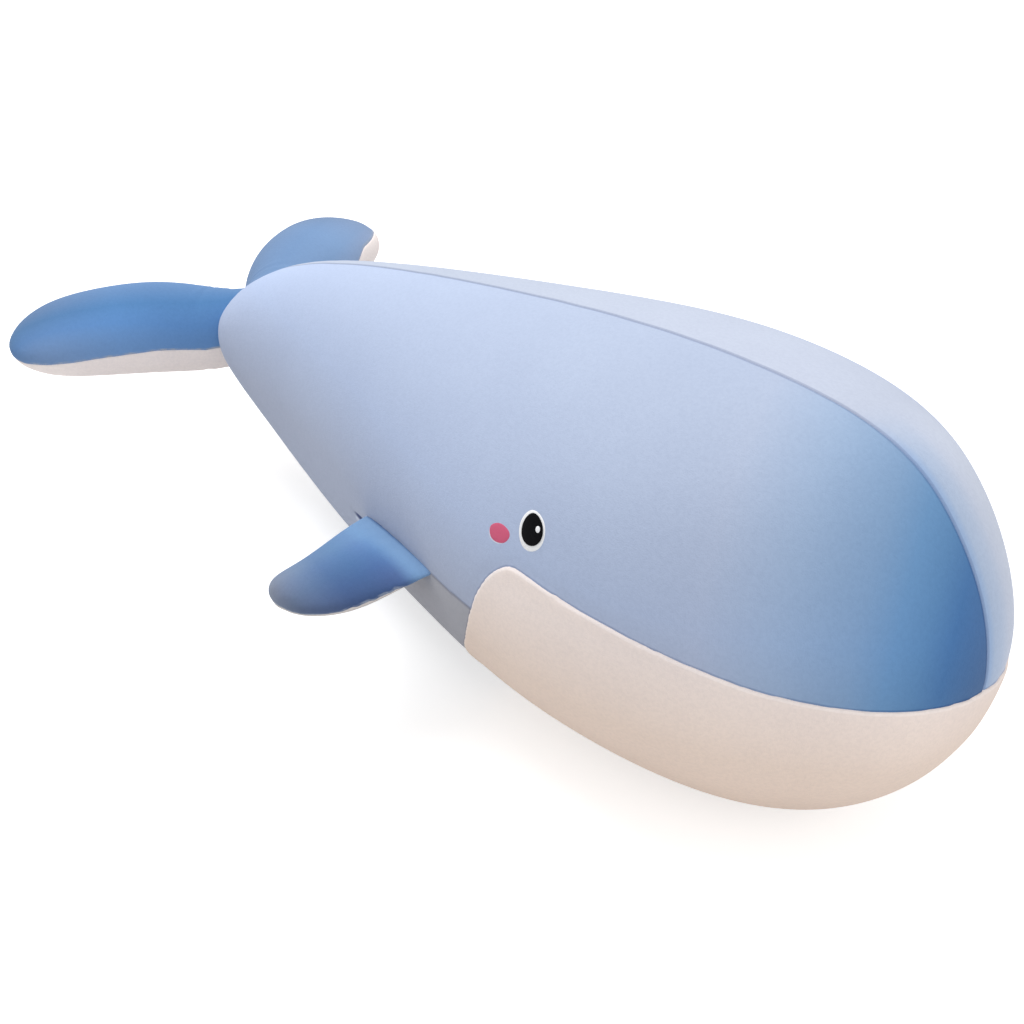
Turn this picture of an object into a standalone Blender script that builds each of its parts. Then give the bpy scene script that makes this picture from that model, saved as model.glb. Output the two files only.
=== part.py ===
"""Stuffed whale that lies on its belly.

The body is four sewn velvet panels over one stuffing. Two fins and a pair of
tail flukes bend on the cloth that they are sewn on by, and the eyes and cheeks
are embroidered patches.

+X runs to the nose, +Y to the whale's left and +Z up. The origin is on the
floor under the middle of the whole animal. All sizes are in metres.
"""
import math
from collections import namedtuple

import bmesh
import bpy
import numpy as np
from mathutils import Matrix, Vector

# Cloth and sewing
FABRIC = 0.003
LIMB_FABRIC = 0.0020
SEAM_GAP = 0.0003
FILL_GAP = 0.0010
REST_GAP = 0.0003

# How finely the cages are rounded off
BODY_SUBDIVISIONS = 2
PLAIN_SUBDIVISIONS = 1

# Cage sections of the body from the tail to the nose, a little outside its cloth
BodySection = namedtuple("BodySection", "along top bottom half_width widest")
BODY_SECTIONS = (
    BodySection(-0.278, 0.177, 0.1010, 0.068, 0.135),
    BodySection(-0.206, 0.215, 0.0330, 0.067, 0.120),
    BodySection(-0.086, 0.250, -0.0040, 0.094, 0.119),
    BodySection(0.063, 0.277, -0.0147, 0.141, 0.130),
    BodySection(0.169, 0.290, -0.0147, 0.171, 0.146),
    BodySection(0.281, 0.291, -0.0168, 0.150, 0.146),
    BodySection(0.345, 0.273, 0.0070, 0.104, 0.136),
    BodySection(0.390, 0.209, 0.0700, 0.066, 0.130),
)
TAIL_END = (-0.293, 0.135)
NOSE_END = (0.405, 0.138)
BODY_RING = 8
BODY_SQUARENESS = 0.92

# Seams in side view, as distance along and height
BELLY_SEAM = (
    (-0.310, 0.116), (-0.260, 0.106), (-0.200, 0.084), (-0.120, 0.070), (-0.055, 0.088),
    (-0.017, 0.110), (0.030, 0.117), (0.093, 0.128), (0.142, 0.128),
)
CHIN_BACK_LOWER = ((0.099, 0.000), (0.103, 0.022), (0.116, 0.060), (0.134, 0.103), (0.142, 0.128))
CHIN_BACK_UPPER = ((0.142, 0.128), (0.152, 0.150), (0.158, 0.162), (0.165, 0.171), (0.174, 0.1765))
MOUTH_LINE = (
    (0.174, 0.1765), (0.218, 0.173), (0.260, 0.168), (0.295, 0.161), (0.328, 0.155),
    (0.361, 0.150), (0.388, 0.147), (0.3985, 0.142), (0.4010, 0.136), (0.4300, 0.128),
)
SEAM_STEPS = 2
CUT_REACH = 0.5

# Fins: the hinge line lies just outside the seam that the fin is sewn into
FIN_ROOT_REAR = Vector((-0.0173, -0.1090, 0.1097))
FIN_ROOT_FRONT = Vector((0.0926, -0.1364, 0.1277))
FIN_HINGE_OFFSET = 0.0034
FIN_DROOP = math.radians(23)
LimbSection = namedtuple("LimbSection", "out centre half_chord half_thickness")
FIN_SECTIONS = (
    LimbSection(0.0010, 0.0575, 0.0550, 0.0056),
    LimbSection(0.0225, 0.0618, 0.0482, 0.0138),
    LimbSection(0.0480, 0.0543, 0.0443, 0.0150),
    LimbSection(0.0710, 0.0405, 0.0305, 0.0105),
)
FIN_ROOT_END = LimbSection(-0.0035, 0.0575, 0.0, 0.0)
FIN_TIP_END = LimbSection(0.0865, 0.0350, 0.0, 0.0)
LIMB_RING = 8

# Tail flukes: two pads that run out and back from the end of the body
FLUKE_CENTRE = Vector((-0.3400, -0.1028, 0.1348))
FLUKE_SWEEP = math.radians(30.9)
FLUKE_DROOP = math.radians(4.4)
FLUKE_ROLL = math.radians(-4.1)
FLUKE_HALF_LENGTH = 0.0912
FLUKE_HALF_CHORD = 0.0520
FLUKE_HALF_THICKNESS = 0.0302
FLUKE_STATIONS = (-0.62, 0.06, 0.72)
FLUKE_TIP = 1.12
FLUKE_FILL_END = 0.85
TAIL_BRIDGE_CENTRE = Vector((-0.2810, 0.0, 0.1400))
TAIL_BRIDGE_HALF_CHORD = 0.0200
TAIL_BRIDGE_HALF_THICKNESS = 0.0240

# The tail turns about a line across the end of the body, and clears the end
TAIL_HINGE = Vector((-0.2400, 0.0, 0.1360))
TAIL_CLEARANCE = (
    (0.0, 0.0488), (0.021, 0.0480), (0.036, 0.0447), (0.047, 0.0397), (0.055, 0.0328),
    (0.062, 0.0222), (0.0665, 0.0),
)
TAIL_CLEARANCE_STEPS = 24

# Face patches: place on the right side, turned to lie on the cloth
EYE_CENTRE = Vector((0.1827, -0.1337, 0.2021))
EYE_LEAN = math.radians(25)
EYE_HALF_HEIGHT = 0.0119
EYE_HALF_WIDTH = 0.0100
EYE_NARROWING = 0.10
PUPIL_HALF_HEIGHT = 0.0094
PUPIL_HALF_WIDTH = 0.0077
PUPIL_SHIFT = (0.0003, 0.0006)
GLINT_HALF_HEIGHT = 0.0020
GLINT_HALF_WIDTH = 0.0015
GLINT_SHIFT = (0.0037, 0.0008)
CHEEK_CENTRE = Vector((0.1598, -0.1376, 0.1908))
CHEEK_HALF_LENGTH = 0.0084
CHEEK_HALF_WIDTH = 0.0066
CHEEK_LEAN = math.radians(70)
PATCH_THICKNESS = 0.0011
PATCH_SIDES = 16

# Colours as linear red, green and blue
BODY_BLUE = (0.447, 0.558, 0.800)
FIN_BLUE = (0.107, 0.254, 0.533)
CREAM = (0.790, 0.680, 0.600)
FILL_WHITE = (0.850, 0.850, 0.850)
EYE_WHITE = (0.850, 0.860, 0.880)
EYE_BLACK = (0.010, 0.010, 0.012)
CHEEK_PINK = (0.590, 0.120, 0.200)
CLOTH_ROUGHNESS = 0.9
THREAD_ROUGHNESS = 0.5


def start_scene():
    """Empty the scene and return the collections for the parts and for the cutters."""
    for thing in list(bpy.data.objects):
        bpy.data.objects.remove(thing, do_unlink=True)
    parts = bpy.data.collections.new("plush_whale")
    cutters = bpy.data.collections.new("cutters")
    bpy.context.scene.collection.children.link(parts)
    bpy.context.scene.collection.children.link(cutters)
    return parts, cutters


PARTS, CUTTERS = start_scene()


def cloth_material(name, colour, roughness=CLOTH_ROUGHNESS):
    """A Principled material with no metal in it."""
    material = bpy.data.materials.new(name)
    material.use_nodes = True
    shader = material.node_tree.nodes["Principled BSDF"]
    shader.inputs["Base Color"].default_value = (*colour, 1.0)
    shader.inputs["Roughness"].default_value = roughness
    shader.inputs["Metallic"].default_value = 0.0
    return material


def finish_part(thing, name, colour, roughness=CLOTH_ROUGHNESS):
    """Name a part, give it its own material and put it with the other parts."""
    thing.name = name
    thing.data.name = name
    thing.data.materials.clear()
    thing.data.materials.append(cloth_material(name, colour, roughness))
    thing.data.shade_smooth()
    PARTS.objects.link(thing)
    return thing


def hide_cutter(thing):
    """Put a cutter with the other cutters, where it isn't a part."""
    thing.hide_render = True
    thing.display_type = "WIRE"
    CUTTERS.objects.link(thing)
    return thing


def rounded(value, power):
    """Raise a sine or cosine to a power and keep its sign, for a squarer or leaner ring."""
    return math.copysign(abs(value) ** power, value)


def cage_from_sphere(name, rings, first_pole, last_pole, origin=Vector((0, 0, 0))):
    """Shape a coarse sphere into a cage that runs through the given rings of points.

    A first pole of None leaves the first ring open, for a mirrored piece.
    """
    around = len(rings[0])
    bands = len(rings) + 1
    mesh = bpy.data.meshes.new(name)
    cage = bmesh.new()
    bmesh.ops.create_uvsphere(cage, u_segments=around, v_segments=bands, radius=1.0)
    poles = {}
    for vertex in cage.verts:
        band = round((math.pi - math.acos(max(-1.0, min(1.0, vertex.co.z)))) / math.pi * bands)
        if band in (0, bands):
            poles[band] = vertex
            continue
        step = round(math.atan2(vertex.co.y, vertex.co.x) / (2 * math.pi) * around) % around
        vertex.co = Vector(rings[band - 1][step]) - origin
    poles[bands].co = Vector(last_pole) - origin
    if first_pole is None:
        bmesh.ops.delete(cage, geom=[poles[0]], context="VERTS")
    else:
        poles[0].co = Vector(first_pole) - origin
    cage.to_mesh(mesh)
    cage.free()
    thing = bpy.data.objects.new(name, mesh)
    thing.location = origin
    return thing


def cage_values(wanted, before, after):
    """Cage values, section by section, whose rounded form passes through the wanted ones.

    Before and after are the values at the two ends that the cage closes on.
    """
    count = len(wanted)
    share = np.eye(count) * 4 + np.eye(count, k=1) + np.eye(count, k=-1)
    target = np.array(wanted, dtype=float) * 6
    target[0] -= before
    target[-1] -= after
    return np.linalg.solve(share, target)


def ring_swell(count):
    """How much wider than its rounded form a cage ring of that many points is."""
    return 6 / (4 + 2 * math.cos(2 * math.pi / count))


def add_subdivision(thing, levels):
    """Round a cage off."""
    modifier = thing.modifiers.new("round_off", "SUBSURF")
    modifier.levels = levels
    modifier.render_levels = levels


def add_wall(thing, thickness):
    """Turn a closed form into a hollow cloth cover whose outside keeps its place."""
    modifier = thing.modifiers.new("cloth", "SOLIDIFY")
    modifier.thickness = thickness
    modifier.offset = -1.0


def add_shrink(thing, distance):
    """Draw a form in along its normals."""
    modifier = thing.modifiers.new("draw_in", "DISPLACE")
    modifier.direction = "NORMAL"
    modifier.mid_level = 0.0
    modifier.strength = -distance


def add_cut(thing, cutter, operation):
    """Cut a form with a cutter, or keep only what is inside it."""
    modifier = thing.modifiers.new(operation.lower(), "BOOLEAN")
    modifier.operation = operation
    modifier.solver = "EXACT"
    modifier.object = cutter


def smooth_line(points, steps=SEAM_STEPS):
    """Points on a smooth curve through the given ones."""
    line = []
    count = len(points)
    for i in range(count - 1):
        before = Vector(points[max(i - 1, 0)])
        start = Vector(points[i])
        end = Vector(points[i + 1])
        after = Vector(points[min(i + 2, count - 1)])
        for step in range(steps):
            t = step / steps
            bend = 2 * before - 5 * start + 4 * end - after
            twist = 3 * (start - end) + after - before
            line.append(start + 0.5 * t * ((end - before) + t * (bend + t * twist)))
    line.append(Vector(points[-1]))
    return line


def shifted(line, distance):
    """A line moved sideways: a positive distance moves it to the left of its direction."""
    moved = []
    for i, point in enumerate(line):
        along = line[min(i + 1, len(line) - 1)] - line[max(i - 1, 0)]
        side = Vector((-along.y, along.x)).normalized()
        moved.append(point + side * distance)
    return moved


def prism(name, outline, low_y, high_y):
    """A cutter whose outline is drawn in side view and which runs across the whale."""
    curve = bpy.data.curves.new(name, "CURVE")
    curve.dimensions = "2D"
    curve.fill_mode = "BOTH"
    curve.extrude = (high_y - low_y) / 2
    spline = curve.splines.new("POLY")
    spline.points.add(len(outline) - 1)
    for point, place in zip(spline.points, outline):
        point.co = (place[0], place[1], 0.0, 1.0)
    spline.use_cyclic_u = True
    drawn = bpy.data.objects.new(name + "_outline", curve)
    drawn.matrix_world = Matrix.Translation((0, (low_y + high_y) / 2, 0)) @ Matrix.Rotation(math.pi / 2, 4, "X")
    return mesh_from_curve(drawn, name)


def mesh_from_curve(drawn, name):
    """A closed mesh cutter from an extruded outline, in the outline's place."""
    bpy.context.scene.collection.objects.link(drawn)
    bpy.context.view_layer.update()
    evaluated = drawn.evaluated_get(bpy.context.evaluated_depsgraph_get())
    mesh = bpy.data.meshes.new_from_object(evaluated)
    welded = bmesh.new()
    welded.from_mesh(mesh)
    bmesh.ops.remove_doubles(welded, verts=welded.verts, dist=0.00001)
    bmesh.ops.recalc_face_normals(welded, faces=welded.faces)
    welded.to_mesh(mesh)
    welded.free()
    solid = bpy.data.objects.new(name, mesh)
    solid.matrix_world = drawn.matrix_world.copy()
    bpy.data.objects.remove(drawn, do_unlink=True)
    return hide_cutter(solid)


# Body

def body_ring(section):
    """Cage points round one body section, from the top down the right side and up the left."""
    points = []
    for step in range(BODY_RING):
        turn = 2 * math.pi * step / BODY_RING
        up = rounded(math.cos(turn), BODY_SQUARENESS)
        right = rounded(math.sin(turn), BODY_SQUARENESS)
        reach = section.top - section.widest if up > 0 else section.widest - section.bottom
        points.append((section.along, -section.half_width * right, section.widest + reach * up))
    return points


def body_form(name, levels=BODY_SUBDIVISIONS):
    """The stuffed outer shape of the body."""
    rings = [body_ring(section) for section in BODY_SECTIONS]
    tail = (TAIL_END[0], 0.0, TAIL_END[1])
    nose = (NOSE_END[0], 0.0, NOSE_END[1])
    form = cage_from_sphere(name, rings, tail, nose)
    add_subdivision(form, levels)
    return form


def seam_outlines():
    """Side-view outlines of the blue sides, the belly and the chin, with the seam gaps taken off."""
    half = SEAM_GAP / 2
    seam = smooth_line(BELLY_SEAM)
    lower = [Vector(point) for point in CHIN_BACK_LOWER]
    upper = [Vector(point) for point in CHIN_BACK_UPPER + MOUTH_LINE[1:]]
    chin_edge = lower + upper[1:]
    side_edge = shifted(seam + upper[1:], half)
    belly_edge = shifted(seam + lower[-2::-1], -half)
    chin_line = shifted(chin_edge, -half)
    far = CUT_REACH
    side = side_edge + [Vector((far, side_edge[-1].y)), Vector((far, far)), Vector((-far, far))]
    side += [Vector((-far, side_edge[0].y))]
    belly = belly_edge + [Vector((belly_edge[-1].x, 0)), Vector((-far, 0)), Vector((-far, belly_edge[0].y))]
    chin = chin_line + [Vector((far, chin_line[-1].y)), Vector((far, 0)), Vector((chin_line[0].x, 0))]
    belly[len(belly_edge) - 1].y = 0.0
    chin[0].y = 0.0
    return side, drop_repeats(belly), drop_repeats(chin)


def drop_repeats(outline):
    """An outline without points that lie on the one before."""
    kept = []
    for i, point in enumerate(outline):
        if (point - outline[i - 1]).length > SEAM_GAP / 10:
            kept.append(point)
    return kept


def make_body():
    """Four cloth panels and the stuffing in them."""
    side, belly, chin = seam_outlines()
    half = SEAM_GAP / 2
    panels = (
        ("side_panel_right", BODY_BLUE, prism("right_side_cut", side, -CUT_REACH, -half)),
        ("side_panel_left", BODY_BLUE, prism("left_side_cut", side, half, CUT_REACH)),
        ("belly_panel", BODY_BLUE, prism("belly_cut", belly, -CUT_REACH, CUT_REACH)),
        ("chin_panel", CREAM, prism("chin_cut", chin, -CUT_REACH, CUT_REACH)),
    )
    for name, colour, cutter in panels:
        panel = body_form(name)
        add_wall(panel, FABRIC)
        add_cut(panel, cutter, "INTERSECT")
        finish_part(panel, name, colour)
    filling = body_form("body_stuffing", PLAIN_SUBDIVISIONS)
    add_shrink(filling, FABRIC + FILL_GAP)
    finish_part(filling, "body_stuffing", FILL_WHITE)


# Fins

def mirrored(vector, side):
    """A vector drawn for the right side, given for that side (-1) or for the left one (+1)."""
    return Vector((vector.x, -side * vector.y, vector.z))


def fin_frame(side):
    """Hinge start, and the directions forward along the hinge, outward and up through the fin."""
    forward = (FIN_ROOT_FRONT - FIN_ROOT_REAR).normalized()
    level = Vector((forward.y, -forward.x, 0)).normalized()
    start = FIN_ROOT_REAR + level * FIN_HINGE_OFFSET
    outward = level * math.cos(FIN_DROOP) - Vector((0, 0, 1)) * math.sin(FIN_DROOP)
    outward = (outward - forward * outward.dot(forward)).normalized()
    upward = forward.cross(outward)
    if upward.z < 0:
        upward = -upward
    return tuple(mirrored(vector, side) for vector in (start, forward, outward, upward))


def limb_sections(sections, first_end, last_end):
    """Cage sections whose rounded form passes through the given ones."""
    columns = []
    for field in LimbSection._fields:
        wanted = [getattr(section, field) for section in sections]
        columns.append(cage_values(wanted, getattr(first_end, field), getattr(last_end, field)))
    return [LimbSection(*row) for row in zip(*columns)]


def fin_form(name, side):
    """The stuffed outer shape of one fin, with its origin on its hinge line."""
    start, forward, outward, upward = fin_frame(side)
    turn_way = -side
    swell = ring_swell(LIMB_RING)
    rings = []
    for section in limb_sections(FIN_SECTIONS, FIN_ROOT_END, FIN_TIP_END):
        ring = []
        for step in range(LIMB_RING):
            turn = turn_way * 2 * math.pi * step / LIMB_RING
            along = section.centre + section.half_chord * swell * math.cos(turn)
            up = section.half_thickness * swell * math.sin(turn)
            ring.append(start + outward * section.out + forward * along + upward * up)
        rings.append(ring)
    root = start + outward * FIN_ROOT_END.out + forward * FIN_ROOT_END.centre
    tip = start + outward * FIN_TIP_END.out + forward * FIN_TIP_END.centre
    form = cage_from_sphere(name, rings, root, tip, origin=start)
    add_subdivision(form, PLAIN_SUBDIVISIONS)
    return form


def half_space(name, point, normal):
    """A large block whose one face passes through a point, on the side that the normal points to."""
    mesh = bpy.data.meshes.new(name)
    block = bmesh.new()
    bmesh.ops.create_cube(block, size=CUT_REACH)
    block.to_mesh(mesh)
    block.free()
    thing = bpy.data.objects.new(name, mesh)
    turn = Vector((0, 0, 1)).rotation_difference(normal)
    thing.matrix_world = Matrix.Translation(point + normal * CUT_REACH / 2) @ turn.to_matrix().to_4x4()
    return hide_cutter(thing)


def make_fin(word, side):
    """Top panel, bottom panel and stuffing of one fin."""
    start, _, _, upward = fin_frame(side)
    half = SEAM_GAP / 2
    for name, colour, way in (("top", FIN_BLUE, upward), ("bottom", CREAM, -upward)):
        full_name = f"fin_{name}_panel_{word}"
        panel = fin_form(full_name, side)
        add_wall(panel, LIMB_FABRIC)
        add_cut(panel, half_space(full_name + "_cut", start + way * half, way), "INTERSECT")
        finish_part(panel, full_name, colour)
    filling = fin_form("fin_stuffing_" + word, side)
    add_shrink(filling, LIMB_FABRIC + FILL_GAP)
    finish_part(filling, "fin_stuffing_" + word, FILL_WHITE)


# Tail flukes

def fluke_frame():
    """Directions outward along the right fluke, forward across it and up through it."""
    level = math.cos(FLUKE_DROOP)
    outward = Vector((-math.sin(FLUKE_SWEEP) * level, -math.cos(FLUKE_SWEEP) * level, -math.sin(FLUKE_DROOP)))
    flat_forward = Vector((math.cos(FLUKE_SWEEP), -math.sin(FLUKE_SWEEP), 0))
    flat_up = flat_forward.cross(outward)
    if flat_up.z < 0:
        flat_up = -flat_up
    forward = flat_forward * math.cos(FLUKE_ROLL) + flat_up * math.sin(FLUKE_ROLL)
    upward = flat_up * math.cos(FLUKE_ROLL) - flat_forward * math.sin(FLUKE_ROLL)
    return outward, forward, upward


def fluke_rings(side, draw_in=0.0):
    """Cage rings of one fluke, an egg that is widest in its middle, from the body out."""
    outward, forward, upward = fluke_frame()
    roundness = [math.sqrt(1 - station ** 2) for station in FLUKE_STATIONS]
    swell = ring_swell(LIMB_RING)
    rings = []
    for station, width in zip(FLUKE_STATIONS, cage_values(roundness, roundness[0], 0.0)):
        centre = FLUKE_CENTRE + outward * (FLUKE_HALF_LENGTH - draw_in) * station
        ring = []
        for step in range(LIMB_RING):
            turn = -side * 2 * math.pi * step / LIMB_RING
            ahead = (FLUKE_HALF_CHORD - draw_in) * width * swell * math.cos(turn)
            up = (FLUKE_HALF_THICKNESS - draw_in) * width * swell * math.sin(turn)
            ring.append(mirrored(centre + forward * ahead + upward * up, side))
        rings.append(ring)
    return rings


def fluke_end(side, station, draw_in=0.0):
    """Place on a fluke's middle line, at a share of its half length from its centre."""
    outward, _, _ = fluke_frame()
    return mirrored(FLUKE_CENTRE + outward * (FLUKE_HALF_LENGTH - draw_in) * station, side)


def tail_form(name):
    """Both flukes and the bridge between them, as one mirrored form."""
    swell = ring_swell(LIMB_RING)
    bridge = []
    for step in range(LIMB_RING):
        turn = 2 * math.pi * step / LIMB_RING
        ahead = TAIL_BRIDGE_HALF_CHORD * swell * math.cos(turn)
        up = TAIL_BRIDGE_HALF_THICKNESS * swell * math.sin(turn)
        bridge.append(TAIL_BRIDGE_CENTRE + Vector((ahead, 0, up)))
    rings = [bridge] + fluke_rings(-1)
    form = cage_from_sphere(name, rings, None, fluke_end(-1, FLUKE_TIP), origin=TAIL_HINGE)
    pair = form.modifiers.new("both_sides", "MIRROR")
    pair.use_axis = (False, True, False)
    pair.merge_threshold = 0.0001
    pair.use_clip = True
    add_subdivision(form, PLAIN_SUBDIVISIONS)
    return form


def fluke_filling(name, side):
    """A closed egg of stuffing inside one fluke."""
    draw_in = LIMB_FABRIC + FILL_GAP
    rings = fluke_rings(side, draw_in)
    inner = fluke_end(side, -FLUKE_FILL_END, draw_in)
    tip = fluke_end(side, FLUKE_TIP, draw_in)
    form = cage_from_sphere(name, rings, inner, tip, origin=TAIL_HINGE)
    add_subdivision(form, PLAIN_SUBDIVISIONS)
    return form


def tail_clearance():
    """The turned space about the tail's hinge that the end of the body fills."""
    mesh = bpy.data.meshes.new("tail_clearance")
    profile = bmesh.new()
    half = [(-across, radius) for across, radius in reversed(TAIL_CLEARANCE[1:])]
    line = half + list(TAIL_CLEARANCE)
    verts = [profile.verts.new((radius, across, 0)) for across, radius in line]
    for first, second in zip(verts, verts[1:]):
        profile.edges.new((first, second))
    bmesh.ops.spin(
        profile, geom=profile.verts[:] + profile.edges[:], cent=(0, 0, 0), axis=(0, 1, 0),
        angle=2 * math.pi, steps=TAIL_CLEARANCE_STEPS, use_merge=True,
    )
    bmesh.ops.remove_doubles(profile, verts=profile.verts, dist=0.00001)
    bmesh.ops.recalc_face_normals(profile, faces=profile.faces)
    profile.to_mesh(mesh)
    profile.free()
    thing = bpy.data.objects.new("tail_clearance", mesh)
    thing.location = TAIL_HINGE
    return hide_cutter(thing)


def make_tail():
    """Top panel, bottom panel and a stuffing for each fluke."""
    clearance = tail_clearance()
    upward = Vector((0, 0, 1))
    seam = Vector((TAIL_BRIDGE_CENTRE.x, 0, TAIL_BRIDGE_CENTRE.z))
    half = SEAM_GAP / 2
    for name, colour, way in (("top", FIN_BLUE, upward), ("bottom", CREAM, -upward)):
        full_name = f"tail_{name}_panel"
        panel = tail_form(full_name)
        add_wall(panel, LIMB_FABRIC)
        add_cut(panel, tail_seam_cutter(full_name + "_cut", seam, way, half), "INTERSECT")
        add_cut(panel, clearance, "DIFFERENCE")
        finish_part(panel, full_name, colour)
    for word, side in (("right", -1), ("left", 1)):
        filling = fluke_filling("fluke_stuffing_" + word, side)
        add_cut(filling, clearance, "DIFFERENCE")
        finish_part(filling, "fluke_stuffing_" + word, FILL_WHITE)


def tail_seam_cutter(name, seam, way, half):
    """Everything above or below the seam round both flukes, which droops from the middle out."""
    fall = FLUKE_CENTRE - TAIL_BRIDGE_CENTRE
    slope = fall.z / abs(fall.y)
    reach = CUT_REACH
    mesh = bpy.data.meshes.new(name)
    solid = bmesh.new()
    lift = half if way.z > 0 else -half
    top = reach if way.z > 0 else -reach
    section = [(-reach, seam.z + slope * reach + lift), (0, seam.z + lift), (reach, seam.z + slope * reach + lift)]
    section += [(reach, top), (-reach, top)]
    face = solid.faces.new([solid.verts.new((-reach, y, z)) for y, z in section])
    swept = bmesh.ops.extrude_face_region(solid, geom=[face])
    moved = [item for item in swept["geom"] if isinstance(item, bmesh.types.BMVert)]
    bmesh.ops.translate(solid, verts=moved, vec=(reach, 0, 0))
    bmesh.ops.recalc_face_normals(solid, faces=solid.faces)
    solid.to_mesh(mesh)
    solid.free()
    return hide_cutter(bpy.data.objects.new(name, mesh))


# Face

def cloth_place(centre, side, surface):
    """Point and outward direction of the body's cloth nearest to a place."""
    found = surface.closest_point_on_mesh(mirrored(centre, side))
    return found[1], found[2].normalized()


def patch(name, frame, shift, size, height, narrowing, colour):
    """A flat embroidered patch on the cloth, round or egg-shaped."""
    across, along, out, origin = frame
    half_width, half_height = size
    mesh = bpy.data.meshes.new(name)
    disc = bmesh.new()
    bmesh.ops.create_cone(
        disc, cap_ends=True, segments=PATCH_SIDES, radius1=1.0, radius2=1.0, depth=PATCH_THICKNESS,
    )
    for vertex in disc.verts:
        width = half_width * vertex.co.x * (1 - narrowing * vertex.co.y)
        lift = vertex.co.z + PATCH_THICKNESS / 2 + height
        place = across * (width + shift[0]) + along * (half_height * vertex.co.y + shift[1]) + out * lift
        vertex.co = place
    if across.cross(along).dot(out) < 0:
        bmesh.ops.reverse_faces(disc, faces=disc.faces)
    disc.to_mesh(mesh)
    disc.free()
    thing = bpy.data.objects.new(name, mesh)
    thing.location = origin
    return finish_part(thing, name, colour, THREAD_ROUGHNESS)


def patch_frame(centre, lean, side, surface):
    """Directions across, along and out of a patch that lies on the cloth and leans back."""
    origin, out = cloth_place(centre, side, surface)
    upright = (Vector((0, 0, 1)) - out * out.z).normalized()
    ahead = (Vector((1, 0, 0)) - out * out.x).normalized()
    along = upright * math.cos(lean) - ahead * math.sin(lean)
    across = ahead * math.cos(lean) + upright * math.sin(lean)
    return across, along, out, origin


def make_face():
    """Eyes of three stacked patches, and cheeks."""
    body = body_form("body_surface")
    hide_cutter(body)
    bpy.context.view_layer.update()
    surface = body.evaluated_get(bpy.context.evaluated_depsgraph_get())
    level = PATCH_THICKNESS + REST_GAP
    for word, side in (("right", -1), ("left", 1)):
        eye = patch_frame(EYE_CENTRE, EYE_LEAN, side, surface)
        white = (EYE_HALF_WIDTH, EYE_HALF_HEIGHT)
        pupil = (PUPIL_HALF_WIDTH, PUPIL_HALF_HEIGHT)
        glint = (GLINT_HALF_WIDTH, GLINT_HALF_HEIGHT)
        patch("eye_white_" + word, eye, (0, 0), white, REST_GAP, EYE_NARROWING, EYE_WHITE)
        patch("eye_pupil_" + word, eye, PUPIL_SHIFT, pupil, REST_GAP + level, EYE_NARROWING, EYE_BLACK)
        patch("eye_glint_" + word, eye, GLINT_SHIFT, glint, REST_GAP + 2 * level, 0, EYE_WHITE)
        cheek = patch_frame(CHEEK_CENTRE, CHEEK_LEAN, side, surface)
        cheek_size = (CHEEK_HALF_WIDTH, CHEEK_HALF_LENGTH)
        patch("cheek_" + word, cheek, (0, 0), cheek_size, REST_GAP, 0, CHEEK_PINK)


make_body()
make_fin("right", -1)
make_fin("left", 1)
make_tail()
make_face()
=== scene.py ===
"""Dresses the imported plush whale: velvet panels, stuffed fins and flukes, and an embroidered face."""
import math
from collections import namedtuple
from itertools import chain

import bmesh
import bpy
import numpy as np
from mathutils import Matrix, Vector, noise
from mathutils.bvhtree import BVHTree


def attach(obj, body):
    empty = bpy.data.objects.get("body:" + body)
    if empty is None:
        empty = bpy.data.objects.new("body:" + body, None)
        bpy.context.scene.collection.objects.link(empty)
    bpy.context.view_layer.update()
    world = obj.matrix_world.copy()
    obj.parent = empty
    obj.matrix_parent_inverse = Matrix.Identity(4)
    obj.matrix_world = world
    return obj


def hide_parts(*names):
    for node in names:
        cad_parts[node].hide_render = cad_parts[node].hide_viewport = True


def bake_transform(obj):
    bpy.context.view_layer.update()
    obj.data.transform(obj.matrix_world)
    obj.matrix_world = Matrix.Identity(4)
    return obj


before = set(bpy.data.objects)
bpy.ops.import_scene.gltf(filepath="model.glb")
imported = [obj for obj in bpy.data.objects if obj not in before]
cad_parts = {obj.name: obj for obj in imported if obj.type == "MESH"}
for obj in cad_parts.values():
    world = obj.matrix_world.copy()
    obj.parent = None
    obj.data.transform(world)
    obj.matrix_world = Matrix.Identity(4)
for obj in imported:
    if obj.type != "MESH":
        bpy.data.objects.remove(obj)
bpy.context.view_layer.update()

bl_info = {
    "name": "Plush whale",
    "version": (1, 0, 0),
    "blender": (4, 5, 0),
    "location": "3D View > Sidebar > Whale",
    "description": "Sews and stuffs the velvet whale round its packed frame",
    "category": "Object",
}

# Rounded outline of the body, section by section from the tail to the nose
BodySection = namedtuple("BodySection", "along top bottom half_width widest")
BODY_SECTIONS = (
    BodySection(-0.278, 0.177, 0.1010, 0.068, 0.135),
    BodySection(-0.206, 0.216, 0.0330, 0.0675, 0.120),
    BodySection(-0.086, 0.251, -0.0100, 0.0955, 0.107),
    BodySection(0.063, 0.277, -0.0147, 0.141, 0.128),
    BodySection(0.169, 0.290, -0.0147, 0.171, 0.146),
    BodySection(0.281, 0.291, -0.0168, 0.150, 0.146),
    BodySection(0.345, 0.273, 0.0070, 0.104, 0.136),
    BodySection(0.390, 0.209, 0.0660, 0.0665, 0.129),
)
TAIL_END = (-0.296, 0.0, 0.135)
NOSE_END = (0.4095, 0.0, 0.135)
# Points round a ring of a cage, and the power below 1 that makes the body's rings a little boxy
RING = 8
BODY_SQUARENESS = 0.92
SIDES = (("right", -1), ("left", 1))
PANEL_WAYS = (("top", 1), ("bottom", -1))
# Smallest length, which keeps a division by a length away from zero
TINY = 1e-9
# How many places are measured against a line at once
BATCH = 6000

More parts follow.
